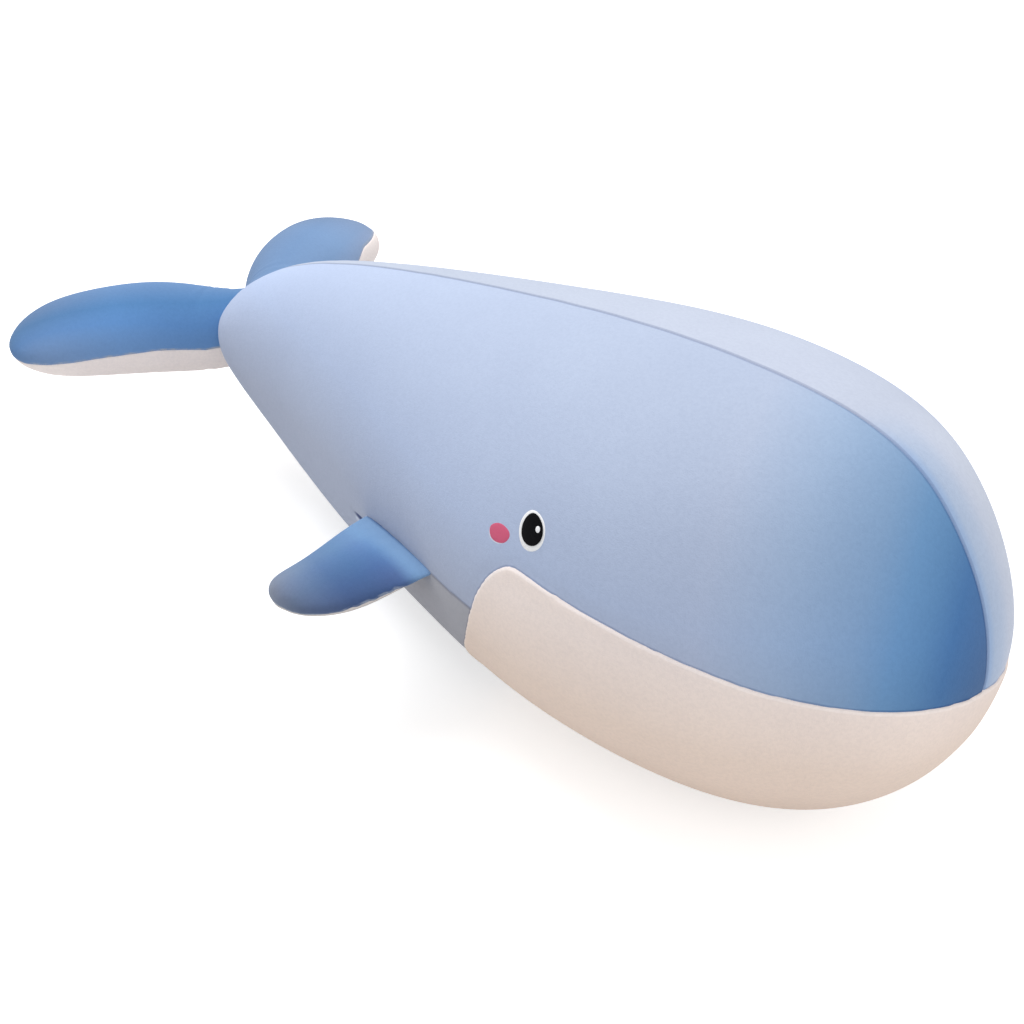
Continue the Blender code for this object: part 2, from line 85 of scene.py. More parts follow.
# Seams of the right side of the body in side view, as distance along and height
BELLY_SEAM = (
    (-0.275, 0.105), (-0.260, 0.098), (-0.200, 0.048), (-0.120, 0.020), (-0.062, 0.018),
    (-0.034, 0.030), (-0.018, 0.058), (-0.006, 0.088), (0.006, 0.1060), (0.0304, 0.1130),
    (0.0625, 0.1190), (0.0905, 0.1238), (0.1174, 0.1260), (0.1412, 0.1276),
)
CHIN_BACK = (
    (0.099, 0.012), (0.1015, 0.030), (0.1055, 0.050), (0.1120, 0.0710), (0.1235, 0.0900),
    (0.1308, 0.1040), (0.1360, 0.1160), (0.1406, 0.1262), (0.1440, 0.1345), (0.1469, 0.1424), (0.1512, 0.1508),
    (0.1544, 0.1566), (0.1575, 0.1617), (0.1615, 0.1666), (0.1656, 0.1707), (0.1698, 0.1741), (0.1735, 0.1760),
)
CHIN_BOTTOM = 0.099
UNDER_POINTS = 24
UNDER_SHARE = 0.96
# Length of the rays that find the seams on the body
RAY = 0.5
# Seam of the mouth as seen from above: the angle round the nose from straight ahead, and the height
NOSE_AXIS = 0.25
MOUTH_SEAM = (
    (116.9, 0.1768), (115.0, 0.1768), (112.4, 0.1762), (105.6, 0.1741), (98.0, 0.1720), (90.5, 0.1697),
    (81.5, 0.1660), (73.2, 0.1629), (65.9, 0.1597), (58.6, 0.1560), (51.4, 0.1531), (44.6, 0.1513),
    (38.0, 0.1500), (31.7, 0.1489), (25.5, 0.1483), (20.0, 0.1473), (15.1, 0.1457), (10.7, 0.1438),
    (6.8, 0.1418), (3.2, 0.1401), (-0.1, 0.1386), (-2.8, 0.1372), (-5.5, 0.1358), (-8.5, 0.1345),
    (-13.0, 0.1322), (-20.0, 0.1304), (-28.0, 0.1305), (-38.0, 0.1345), (-51.4, 0.1430), (-65.9, 0.1540),
    (-81.5, 0.1645), (-98.0, 0.1715), (-112.4, 0.1762), (-116.9, 0.1768),
)
# Crease drawn into the right side behind the root of the fin: its line, depth and half width
TUCK = ((-0.0350, 0.0948), (-0.0300, 0.0954), (-0.0240, 0.0966), (-0.0165, 0.0984), (-0.0110, 0.0998))
TUCK_DEPTH = 0.0015
TUCK_WIDTH = 0.0022

# How the cloth of the body sinks to its seams, and where the back and the floor begin
SEAM_WIDTH = 0.006
SEAM_SINK = 0.0008
BACK_SINK = 0.0004
BACK_HEIGHT = 0.13
BACK_FADE = (-0.30, 0.30)
FLOOR_FADE = (0.002, 0.02)
OVERLAP = 0.0003
LIP_OVERLAP = 0.0006
# Two seams are added up where they lie this close to each other
CORNER_WIDTH = 0.0012

# Frames of the simulation that stuffs a form
STUFFING_FRAMES = 20

# Uneven dents along the seams. The depth of the puckers round the tail's bridge is given for each face
Dents = namedtuple("Dents", "depth width pitch seed")
BELLY_DENTS = Dents(0.0003, 0.007, 0.016, 3.1)
CHIN_DENTS = Dents(0.0002, 0.008, 0.019, 7.7)
BACK_DENTS = Dents(0.0003, 0.008, 0.021, 11.3)
FIN_RIM_DENTS = Dents(0.0005, 0.005, 0.010, 2.3)
FIN_ROOT_DENTS = Dents(0.0008, 0.008, 0.012, 5.9)
FLUKE_DENTS = Dents(0.0004, 0.006, 0.011, 4.4)
TAIL_PUCKERS = Dents(1.0, 0.018, 0.007, 8.2)
PUCKER_TOP = 0.0007
PUCKER_BOTTOM = 0.0013
PUCKER_CENTRE = -0.27
PUCKER_RADIUS = 0.050

# Fins, drawn for the right side
FIN_ROOT_REAR = Vector((-0.0173, -0.1090, 0.1097))
FIN_ROOT_FRONT = Vector((0.0926, -0.1364, 0.1277))
FIN_HINGE_OFFSET = 0.0034
FIN_DROOP = math.radians(23)
LimbSection = namedtuple("LimbSection", "out centre height half_chord half_thickness")
FIN_SECTIONS = (
    LimbSection(-0.0300, 0.0600, -0.0075, 0.0560, 0.0030),
    LimbSection(-0.0100, 0.0598, -0.0072, 0.0600, 0.0022),
    LimbSection(0.0100, 0.0592, -0.0034, 0.0542, 0.0112),
    LimbSection(0.0340, 0.0581, -0.0020, 0.0476, 0.0147),
    LimbSection(0.0560, 0.0562, 0.0011, 0.0404, 0.0150),
    LimbSection(0.0760, 0.0522, 0.0094, 0.0308, 0.0106),
)
FIN_ROOT_END = (-0.0450, 0.0570, -0.0075)
FIN_TIP_END = (0.0875, 0.0324, 0.0006)
FIN_SEAM_DROP = 0.0012
FIN_TIP_DROP = 0.0045
FIN_ROOT_DROP = 0.0040
FIN_HINGE_MIDDLE = 0.0575
FIN_BLEND_LENGTH = 0.022
FIN_ROOT_LINE = 0.004
# Stretches of the fin, as start and length: by distance forward, and the last two by distance out
FIN_FRONT = (0.060, 0.030)
FIN_REAR_CORNER = (0.035, 0.020)
FIN_FRONT_CORNER = (0.080, 0.015)
FIN_TIP = (0.050, 0.025)
FIN_ROOT = (0.018, 0.010)
# Waves of the seam under the fin's front edge, as size, rate and shift
FIN_WAVES = ((0.0005, 610.0, 0.0), (0.0003, 1130.0, 1.0))
# How firmly the seams hold a limb's cloth while it is stuffed, over which width or stretch
RIM_HOLD = 0.8
FIN_RIM_WIDTH = 0.0030
TAIL_RIM_WIDTH = 0.0035
ROOT_HOLD = 0.6
FIN_ROOT_HELD = (0.001, 0.006)

# Tail flukes
FLUKE_CENTRE = Vector((-0.3400, -0.1028, 0.1348))
FLUKE_SWEEP = math.radians(30.9)
FLUKE_DROOP = math.radians(4.4)
FLUKE_ROLL = math.radians(-4.1)
FLUKE_SECTIONS = (
    LimbSection(-0.0660, -0.0122, -0.0185, 0.0410, 0.0425),
    LimbSection(-0.0280, -0.0116, -0.0093, 0.0473, 0.0422),
    LimbSection(0.0200, -0.0089, -0.0043, 0.0506, 0.0373),
    LimbSection(0.0640, -0.0039, -0.0010, 0.0514, 0.0276),
)
FLUKE_TIP_END = (0.1048, 0.0119, 0.0063)
TAIL_BRIDGE_CENTRE = Vector((-0.2739, 0.0, 0.1264))
TAIL_BRIDGE_HALF_CHORD = 0.0362
TAIL_BRIDGE_HALF_THICKNESS = 0.0296
# The left fluke's seam rises by this much over two stretches, forward and out, and its rear is trimmed
FAR_SEAM_RISE = 0.0135
FAR_RISE_FORWARD = (-0.008, 0.044)
FAR_RISE_OUT = (-0.005, 0.040)
FAR_REAR_TRIM = (0.0045, 0.0010, 0.0, 0.0)

# Blues of the fins by distance out from the hinge, with painted shade in the root line, a painted highlight
# beside it and painted shade further out, and how much darker they are towards the front edge in painted shade
FIN_BLUES_PAINTED_LIGHT = (
    (-0.0058, (0.070, 0.130, 0.290)), (-0.0047, (0.140, 0.250, 0.450)), (-0.0036, (0.205, 0.345, 0.565)),
    (0.0100, (0.165, 0.300, 0.510)), (0.0180, (0.135, 0.245, 0.440)), (0.0300, (0.118, 0.222, 0.395)),
    (0.0450, (0.120, 0.205, 0.360)), (0.0600, (0.165, 0.232, 0.350)), (0.0780, (0.205, 0.235, 0.310)),
)
FIN_FRONT_PAINTED_SHADE = (
    (0.040, (1.00, 1.00, 1.00)), (0.055, (0.78, 0.83, 0.92)), (0.070, (0.60, 0.68, 0.80)),
    (0.085, (0.50, 0.55, 0.70)), (0.100, (0.50, 0.48, 0.61)),
)
# Blues of the flukes by distance forward of their middle, and their tone by distance out
FLUKE_BLUES = (
    (-0.030, (0.120, 0.220, 0.410)), (-0.0075, (0.104, 0.210, 0.400)), (0.0075, (0.080, 0.200, 0.410)),
    (0.0225, (0.112, 0.255, 0.530)), (0.040, (0.190, 0.335, 0.600)),
)
FAR_FLUKE_BLUES = (
    (-0.040, (0.138, 0.216, 0.362)), (-0.0075, (0.148, 0.248, 0.425)), (0.0225, (0.205, 0.325, 0.535)),
    (0.040, (0.315, 0.425, 0.640)),
)
FLUKE_TIP_TONES = ((0.000, (1.00, 1.00, 1.00)), (0.065, (0.95, 0.84, 0.80)))
# Blues of the nose by distance forward, painted nap shade where the velvet's pile is seen end-on, and the pale
# blues of the left side there by distance out, painted sheen
NOSE_START = 0.245
NOSE_NAP_SHADE_BLUES = (
    (0.288, (0.333, 0.440, 0.630)), (0.330, (0.225, 0.355, 0.565)), (0.350, (0.150, 0.300, 0.535)),
    (0.365, (0.112, 0.248, 0.470)), (0.379, (0.069, 0.180, 0.395)),
)
NOSE_FINISH = 0.400
NOSE_SLANT = 0.40
FAR_NOSE_SHEEN_BLUES = (
    (0.003, (0.330, 0.450, 0.660)), (0.008, (0.420, 0.510, 0.670)), (0.016, (0.460, 0.540, 0.690)),
    (0.028, (0.550, 0.600, 0.720)), (0.042, (0.590, 0.635, 0.740)),
)
FAR_TAIL_BLUE = (0.430, 0.475, 0.570)
# Where one colour turns into another, from a distance to a distance
FAR_BACK_FADE = (-0.05, 0.24)
FAR_NOSE_FADE = (0.290, 0.345)
# The left side takes the painted nap shade of the right one further out
FAR_NAP_SHADE_FADE = (0.060, 0.100)
FIN_TONE_FADE = (0.002, 0.014)
MIDDLE_FADE = (-0.02, 0.02)
SPOT_FADE = (1.0, 0.35)
# Painted light on the body's blue and on the cream by height: warmer low down in painted bounce light from the
# floor, the blue darker there in painted shade, and the cream bluer at the top
BLUE_LIGHT_BY_HEIGHT = ((0.120, (0.945, 0.900, 0.855)), (0.185, (1.00, 1.02, 1.04)), (0.270, (0.98, 0.97, 0.935)))
CREAM_LIGHT_BY_HEIGHT = ((0.040, (1.03, 0.975, 0.930)), (0.100, (0.975, 0.950, 0.930)), (0.160, (1.01, 1.05, 1.12)))
# Painted shade where the cloth turns down into a seam, a painted highlight on the jaw's lip, a pale worn line,
# and how far from the seam they reach
SEAM_PAINTED_SHADE = (0.72, 0.74, 0.80)
SEAM_PAINTED_SHADE_WIDTH = 0.0010
LIP_PAINTED_HIGHLIGHT = (1.05, 1.07, 1.09)
LIP_PAINTED_HIGHLIGHT_WIDTH = 0.0005
WORN_BLUE = (0.36, 0.41, 0.50)
WORN_WIDTH = 0.0012
WORN_PATCHES = (0.30, 0.75)
# Painted shade in the crease behind the root of the fin, with a painted highlight on the fold below it: middle,
# turn and half sizes
CREASE_TURN = (0.0, math.radians(-7.9), math.radians(-16.1))
CREASE = ((-0.0245, -0.1000, 0.0962), CREASE_TURN, (0.0125, 0.0120, 0.0030))
CREASE_PAINTED_SHADE = (0.060, 0.080, 0.190)
FOLD = ((-0.0290, -0.1000, 0.0922), CREASE_TURN, (0.0050, 0.0120, 0.0030))
FOLD_PAINTED_HIGHLIGHT = (0.53, 0.59, 0.72)

# Noise on the velvet and the fibre, as scale, detail, roughness and distortion, and the tones it gives
WHITE = (1.0, 1.0, 1.0)
BRUSHED = (16.0, 3.0, 0.55)
BRUSHED_TONES = ((0.30, (0.965, 0.965, 0.972)), (0.70, WHITE))
GRAIN = (420.0, 3.0, 0.6)
GRAIN_TONES = ((0.34, (0.945, 0.948, 0.955)), (0.62, WHITE))
GRAIN_SHARE = 0.7
TUFTS = (1100.0, 2.0, 0.6)
WORN = (120.0, 3.0, 0.6)
FIBRE = (300.0, 5.0, 0.7, 1.5)
FIBRE_TONES = ((0.35, (0.62, 0.66, 0.74)), (0.65, (0.85, 0.85, 0.85)))
BLUE_SHEEN = (0.80, 0.86, 1.0)
DEEP_BLUE_SHEEN = (0.75, 0.86, 1.0)
CREAM_SHEEN = (1.0, 0.95, 0.90)
LINING_SHEEN = (1.0, 0.97, 0.94)

# Satin stitch: width of a thread, scale of the wave texture for bands one metre wide, shade and gloss
THREAD_WIDTH = 0.00055
WAVE_SCALE = 0.31416
THREAD_SHADE = 0.86
THREAD_GLOSS = 0.15
BLACK_GLOSS = 0.04
BACKING = (0.62, 0.69, 0.82)

# Face, drawn for the right side
EYE_CENTRE = Vector((0.1823, -0.1340, 0.2017))
EYE_LEAN = math.radians(25)
CHEEK_CENTRE = Vector((0.1592, -0.1376, 0.1904))
CHEEK_LEAN = math.radians(9.3)
# Outlines of the patches, as the egg function takes them, and how they lie on the cloth
PUPIL = (0.0078, 0.0092, (0.0009, 0.0005), 0.10, 0.03)
GLINT = (0.0015, 0.0019, (0.0059, 0.0005))
CHEEK = (0.0090, 0.0058, (0.0, 0.0), 0.0, 0.0, 0.02)
CHEEK_BACKING = (0.0095, 0.0063, (-0.0010, -0.0012))
PATCH_RAY = 0.03
PATCH_SINK = 0.0003
BACKING_SINK = 0.0004
PATCH_UNDERSIDE = 0.0008
DOME_POWER = 0.7

# Camera, lamps and floor
CAMERA_PLACE = (0.6300, -0.5788, 0.6321)
CAMERA_TARGET = (0.0267, 0.0, 0.0786)
SENSOR_WIDTH = 36.0
LAMP_SIZE = 1.4
LAMP_TARGET = (0.05, 0.0, 0.10)
KEY_PLACE = (-0.70, 0.10, 1.60)
FILL_PLACE = (1.40, -0.20, 0.60)
FLOOR_SIZE = 12.0
FLOOR_DEPTH = 0.0005
FLOOR_WHITE = (0.72, 0.72, 0.72)
FLOOR_GLOW = 0.57


# Settings that a user would change

def length_setting(name, description, default, least):
    """A size in metres."""
    return bpy.props.FloatProperty(
        name=name, description=description, default=default, min=least, unit="LENGTH")


def colour_setting(name, description, default):
    """A colour."""
    return bpy.props.FloatVectorProperty(
        name=name, description=description, default=default, subtype="COLOR", min=0.0, max=1.0)


def power_setting(name, description, default):
    """The power of a lamp."""
    return bpy.props.FloatProperty(
        name=name, description=description, default=default, min=0.0, unit="POWER")


class WhaleCloth(bpy.types.PropertyGroup):
    """Sizes of the sewing and colours of the cloth."""

    body_voxel: length_setting(
        "Body mesh size", "Spacing of the body's cloth before it is simulated", 0.006, 0.003)
    body_swell: length_setting(
        "Body swell", "How far the stuffing may push the body's cloth out", 0.0030, 0.0)
    limb_voxel: length_setting(
        "Tail mesh size", "Spacing of the flukes' cloth before it is simulated", 0.0030, 0.002)
    limb_swell: length_setting(
        "Limb swell", "How far the stuffing may push the cloth of the fins and flukes out", 0.0016, 0.0)
    seam_roll: length_setting(
        "Seam roll", "Radius on which the cloth turns into a body seam", 0.0013, 0.001)
    lip_roll: length_setting(
        "Lip roll", "Radius on which the jaw's cloth turns into its seam", 0.0012, 0.0008)
    lip_rise: length_setting(
        "Lip rise", "How far the jaw's lip stands above the cloth behind it", 0.0007, 0.0)
    filling_depth: length_setting(
        "Filling depth", "How far under the surface of the cloth the stuffing begins", 0.0026, 0.001)
    limb_seam_roll: length_setting(
        "Limb seam roll", "Radius on which the cloth turns into a seam of a fin or fluke", 0.0014, 0.001)
    thickness: length_setting(
        "Cloth thickness", "Thickness of the velvet with its pile", 0.0012, 0.0005)
    body_blue: colour_setting("Body blue", "Velvet of the right side", (0.420, 0.490, 0.655))
    # The left side is the same velvet as the right, drawn paler in painted sheen
    far_blue: colour_setting(
        "Left blue", "Velvet of the left side, whose pile lies the other way", (0.495, 0.538, 0.645))
    # The belly is the same pale blue velvet as the sides, drawn darker and greyer in painted shade
    belly_blue: colour_setting("Belly blue", "Velvet of the belly", (0.385, 0.388, 0.425))
    # Darkest painted nap shade of the nose
    nose_blue: colour_setting("Nose blue", "Darkest blue of the nose", (0.066, 0.145, 0.315))
    cream: colour_setting("Cream", "Velvet of the jaw", (0.870, 0.740, 0.655))
    # The fins' cream lining, drawn greyer and darker in painted shade
    fin_lining: colour_setting("Fin lining", "Velvet of the under side of the fins", (0.680, 0.640, 0.620))
    lining: colour_setting("Tail lining", "Paler velvet of the under side of the flukes", (0.915, 0.830, 0.800))


class WhaleFace(bpy.types.PropertyGroup):
    """Sizes and colours of the embroidery."""

    eye_height: length_setting("Eye height", "Half of the height of the white of an eye", 0.0119, 0.004)
    eye_width: length_setting("Eye width", "Half of the width of the white of an eye", 0.0098, 0.004)
    stitch_height: length_setting(
        "Stitch height", "How far the embroidery stands out of the cloth", 0.0012, 0.0003)
    white: colour_setting("White thread", "Ring and glint of an eye", (0.920, 0.925, 0.940))
    black: colour_setting("Black thread", "Pupil of an eye", (0.004, 0.004, 0.005))
    pink: colour_setting("Pink thread", "Cheeks", (0.640, 0.115, 0.210))


class WhaleStage(bpy.types.PropertyGroup):
    """Camera, lamps and floor."""

    lens: bpy.props.FloatProperty(
        name="Focal length", description="Focal length of the camera in millimetres", default=47.54, min=10.0)
    key_power: power_setting("Key lamp", "Power of the large lamp above the tail", 25.0)
    fill_power: power_setting("Fill lamp", "Power of the weak lamp in front of the nose", 4.4)
    sky: bpy.props.FloatProperty(
        name="Sky", description="Strength of the even light from all round", default=0.70, min=0.0)


# Modelling helpers

def select_only(thing):
    """Leave edit mode and select this object alone."""
    if bpy.context.object and bpy.context.object.mode != "OBJECT":
        bpy.ops.object.mode_set(mode="OBJECT")
    bpy.ops.object.select_all(action="DESELECT")
    if thing is not None:
        thing.select_set(True)
    bpy.context.view_layer.objects.active = thing


def rounded(value, power):
    """Raise a sine or cosine to a power and keep its sign."""
    return math.copysign(abs(value) ** power, value)


def mirrored(vector, side):
    """A vector drawn for the right side, given for that side (-1) or for the left one (+1)."""
    return Vector((vector[0], -side * vector[1], vector[2]))


def cage(name, rings, first_end, last_end):
    """Closed cage: a circle extruded from ring to ring and drawn together at both ends."""
    select_only(None)
    bpy.ops.mesh.primitive_circle_add(vertices=len(rings[0]), radius=0.1, location=(0, 0, 0))
    thing = bpy.context.object
    thing.name = name
    thing.data.name = name
    bpy.ops.object.mode_set(mode="EDIT")
    edit = bmesh.from_edit_mesh(thing.data)
    step = edit.verts.layers.int.new("step")
    edit.verts.ensure_lookup_table()
    for index, vertex in enumerate(edit.verts):
        vertex[step] = index
        vertex.co = rings[0][index]
    bmesh.update_edit_mesh(thing.data)
    bpy.ops.mesh.select_all(action="SELECT")
    for ring in rings[1:]:
        extrude_to(thing, lambda index: ring[index])
    extrude_to(thing, lambda index: last_end)
    bpy.ops.mesh.merge(type="CENTER")
    bpy.ops.mesh.select_all(action="DESELECT")
    bpy.ops.mesh.select_mode(type="VERT")
    bpy.ops.mesh.select_non_manifold(extend=False, use_wire=False, use_boundary=True, use_multi_face=False)
    extrude_to(thing, lambda index: first_end)
    bpy.ops.mesh.merge(type="CENTER")
    bpy.ops.mesh.select_all(action="SELECT")
    bpy.ops.mesh.normals_make_consistent(inside=False)
    bpy.ops.object.mode_set(mode="OBJECT")
    return thing


def extrude_to(thing, place):
    """Extrude the selected ring and put each new point in its place."""
    bpy.ops.mesh.extrude_region_move(TRANSFORM_OT_translate={"value": (0, 0, 0)})
    edit = bmesh.from_edit_mesh(thing.data)
    step = edit.verts.layers.int["step"]
    for vertex in edit.verts:
        if vertex.select:
            vertex.co = place(vertex[step])
    bmesh.update_edit_mesh(thing.data)


def apply_modifier(thing, kind, name, **values):
    """Add a modifier, set it and apply it."""
    select_only(thing)
    modifier = thing.modifiers.new(name, kind)
    for key, value in values.items():
        setattr(modifier, key, value)
    bpy.ops.object.modifier_apply(modifier=modifier.name)


def subdivide(thing, levels):
    """Round a mesh off."""
    apply_modifier(thing, "SUBSURF", "round_off", levels=levels, render_levels=levels)


def vertex_values(thing, kind):
    """A vector on each vertex as an array."""
    found = np.zeros(len(thing.data.vertices) * 3)
    thing.data.vertices.foreach_get(kind, found)
    return found.reshape(-1, 3)


def places(thing):
    """Vertex places as an array."""
    return vertex_values(thing, "co")


def normals(thing):
    """Vertex normals as an array."""
    return vertex_values(thing, "normal")


def put(thing, new_places):
    """Move the vertices."""
    thing.data.vertices.foreach_set("co", np.ascontiguousarray(new_places).ravel())
    thing.data.update()


def surface_of(thing):
    """The surface of an object, for casting rays at it."""
    return BVHTree.FromObject(thing, bpy.context.evaluated_depsgraph_get())


def add_object(name, data):
    """Put a new object in the scene."""
    thing = bpy.data.objects.new(name, data)
    bpy.context.scene.collection.objects.link(thing)
    return thing


def copied(thing, name):
    """A copy with its own mesh."""
    copy = add_object(name, thing.data.copy())
    copy.data.name = name
    return copy


def shade_smooth(thing):
    """Shade an object smoothly and hand it back."""
    select_only(thing)
    bpy.ops.object.shade_smooth()
    return thing


def falloff(distance, width):
    """1 at a line, falling off to each side over that width."""
    return np.exp(-(distance / width) ** 2)


def past(values, stretch):
    """0 before a stretch, given as its start and length, and rising to 1 at its end."""
    return np.clip((values - stretch[0]) / stretch[1], 0.0, 1.0)


def short_of(values, stretch):
    """0 past the start of a stretch, and rising to 1 at its length before that."""
    return np.clip((stretch[0] - values) / stretch[1], 0.0, 1.0)


def on_right(found):
    """Places with those on the left side mirrored over to the right one."""
    right = found.copy()
    right[:, 1] = -np.abs(found[:, 1])
    return right


def mirror_left(ways, found):
    """Turn directions found on the right side for the places that lie on the left one."""
    ways[:, 1] *= np.where(found[:, 1] > 0, -1.0, 1.0)
    return ways


def smoothed(thing, values, rounds=30):
    """Values on the vertices, averaged again and again with those of their neighbours."""
    ends = np.zeros(len(thing.data.edges) * 2, dtype=int)
    thing.data.edges.foreach_get("vertices", ends)
    first, second = ends.reshape(-1, 2).T
    count = len(values)
    share = np.bincount(first, minlength=count) + np.bincount(second, minlength=count)
    for _ in range(rounds):
        total = np.bincount(first, values[second], count) + np.bincount(second, values[first], count)
        values = 0.5 * values + 0.5 * total / share
    return values


def stuff(thing, voxel, most, held):
    """Swell a cover: even out its mesh, draw it in, and let pressure push it out again.

    Held says for each place how firmly a seam holds the cloth there, from 0 to 1. A thin cover keeps
    its own mesh, with no voxel size. The creases of the simulation stay, and its bulk follows the cover.
    """
    surface = surface_of(thing)
    if voxel:
        apply_modifier(thing, "REMESH", "even_cloth", mode="VOXEL", voxel_size=voxel)
        apply_modifier(thing, "SMOOTH", "even_out", factor=0.5, iterations=4)
        put(thing, np.array([surface.find_nearest(place)[0] for place in places(thing)]))
    out, home = normals(thing), places(thing)
    start = home - out * most
    put(thing, start)
    firm = held(home)
    group = thing.vertex_groups.new(name="seam")
    for index in np.nonzero(firm > 0.02)[0]:
        group.add([int(index)], float(firm[index]), "REPLACE")
    select_only(thing)
    modifier = thing.modifiers.new("stuffing", "CLOTH")
    cloth = modifier.settings
    cloth.quality = 5
    cloth.mass = 0.2
    cloth.tension_stiffness = 15
    cloth.compression_stiffness = 15
    cloth.bending_stiffness = 1.5
    cloth.use_pressure = True
    cloth.uniform_pressure_force = 4
    cloth.effector_weights.gravity = 0
    cloth.vertex_group_mass = group.name
    modifier.collision_settings.use_collision = False
    modifier.point_cache.frame_start = 1
    modifier.point_cache.frame_end = STUFFING_FRAMES
    for moment in range(1, STUFFING_FRAMES + 1):
        bpy.context.scene.frame_set(moment)
    bpy.ops.object.modifier_apply(modifier=modifier.name)
    moved = places(thing) - start
    length = np.linalg.norm(moved, axis=1)
    moved *= np.minimum(1.0, most / np.maximum(length, TINY))[:, None]
    swelled = start + moved
    bulk = smoothed(thing, ((swelled - home) * out).sum(1))
    put(thing, swelled - out * bulk[:, None])
    thing.vertex_groups.clear()
    bpy.context.scene.frame_set(1)


# Seam lines

def smooth_line(points, steps=6):
    """Points on a smooth curve through the given ones."""
    line = []
    last = len(points) - 1
    for i in range(last):
        before, start, end, after = (np.array(points[min(max(j, 0), last)]) for j in (i - 1, i, i + 1, i + 2))
        for step in range(steps):
            t = step / steps
            bend = 2 * before - 5 * start + 4 * end - after
            twist = 3 * (start - end) + after - before
            line.append(start + 0.5 * t * ((end - before) + t * (bend + t * twist)))
    line.append(np.array(points[last]))
    return line


BodySeams = namedtuple("BodySeams", "chin belly")


def body_seams(surface):
    """The seam round the chin and the right belly seam, as lines of points on the body."""
    def seen_from(place, way):
        return surface.ray_cast(Vector(place) + way * RAY, -way)[0]

    def beside(along, height):
        return seen_from((along, 0, height), Vector((0, -1, 0)))

    def round_nose(angle, height):
        turn = math.radians(angle)
        return seen_from((NOSE_AXIS, 0, height), Vector((math.cos(turn), -math.sin(turn), 0)))

    back = [beside(*place) for place in smooth_line(CHIN_BACK, 3)]
    front = [round_nose(*place) for place in smooth_line(MOUTH_SEAM, 3)]
    edge = -back[0].y
    under = [seen_from((CHIN_BOTTOM, across, 0), Vector((0, 0, -1)))
             for across in np.linspace(UNDER_SHARE * edge, -UNDER_SHARE * edge, UNDER_POINTS)]
    chin = back + front + [mirrored(place, 1) for place in back[::-1]] + under + back[:1]
    belly = [beside(*place) for place in smooth_line(BELLY_SEAM, 4)]
    return BodySeams(np.array(chin), np.array(belly))


def line_reach(found, line):
    """Distance of places to a line, how far along it they lie, and the way from it to them."""
    starts, spans = line[:-1], line[1:] - line[:-1]
    lengths = np.maximum(np.linalg.norm(spans, axis=1), TINY)
    travelled = np.concatenate([[0], np.cumsum(lengths)[:-1]])
    distance = np.empty(len(found))
    along = np.empty(len(found))
    way = np.empty(found.shape)
    for first in range(0, len(found), BATCH):
        part = slice(first, first + BATCH)
        offset = found[part, None, :] - starts[None]
        share = np.clip((offset * spans).sum(-1) / lengths ** 2, 0, 1)
        gap = offset - share[..., None] * spans
        reach = np.linalg.norm(gap, axis=-1)
        nearest = reach.argmin(1)
        row = np.arange(len(nearest))
        distance[part] = reach[row, nearest]
        along[part] = travelled[nearest] + share[row, nearest] * lengths[nearest]
        way[part] = gap[row, nearest] / np.maximum(distance[part], TINY)[:, None]
    return distance, along, way


def in_chin(found):
    """Whether places on the body belong to the chin."""
    back = np.array(smooth_line(CHIN_BACK, 3))
    mouth = np.array(smooth_line(MOUTH_SEAM, 3))[::-1]
    angle = np.degrees(np.arctan2(-found[:, 1], found[:, 0] - NOSE_AXIS))
    behind = found[:, 0] < np.interp(found[:, 2], back[:, 1], back[:, 0])
    return ~behind & (found[:, 2] < np.interp(angle, mouth[:, 0], mouth[:, 1]))


def body_reach(found, seams):
    """For each panel of the body, how far inside it places lie and the way further in."""
    chin_distance, _, chin_way = line_reach(found, seams.chin)
    belly_distance, _, belly_way = line_reach(on_right(found), seams.belly)
    mirror_left(belly_way, found)
    chin = np.where(in_chin(found), 1.0, -1.0)
    above = np.where(found[:, 2] > np.interp(found[:, 0], seams.belly[:, 0], seams.belly[:, 2]), 1.0, -1.0)
    round_chin = (-chin_distance * chin, -chin_way * chin[:, None])
    panels = {
        "chin": (chin_distance * chin, chin_way * chin[:, None]),
        "belly": nearer(round_chin, (-belly_distance * above, -belly_way * above[:, None])),
    }
    side = nearer(round_chin, (belly_distance * above, belly_way * above[:, None]))
    for name, hand in (("right_side", -1.0), ("left_side", 1.0)):
        middle = np.broadcast_to((0.0, hand, 0.0), found.shape)
        panels[name] = nearer(side, (hand * found[:, 1], middle))
    return panels


def nearer(one, other):
    """The nearer of two seams, with both ways in added up close to where they meet."""
    closer = (one[0] < other[0])[:, None]
    both = falloff(np.abs(one[0] - other[0]), CORNER_WIDTH)[:, None]
    first = np.where(closer, one[1], other[1])
    second = np.where(closer, other[1], one[1])
    return np.minimum(one[0], other[0]), first + second * both


# Panels

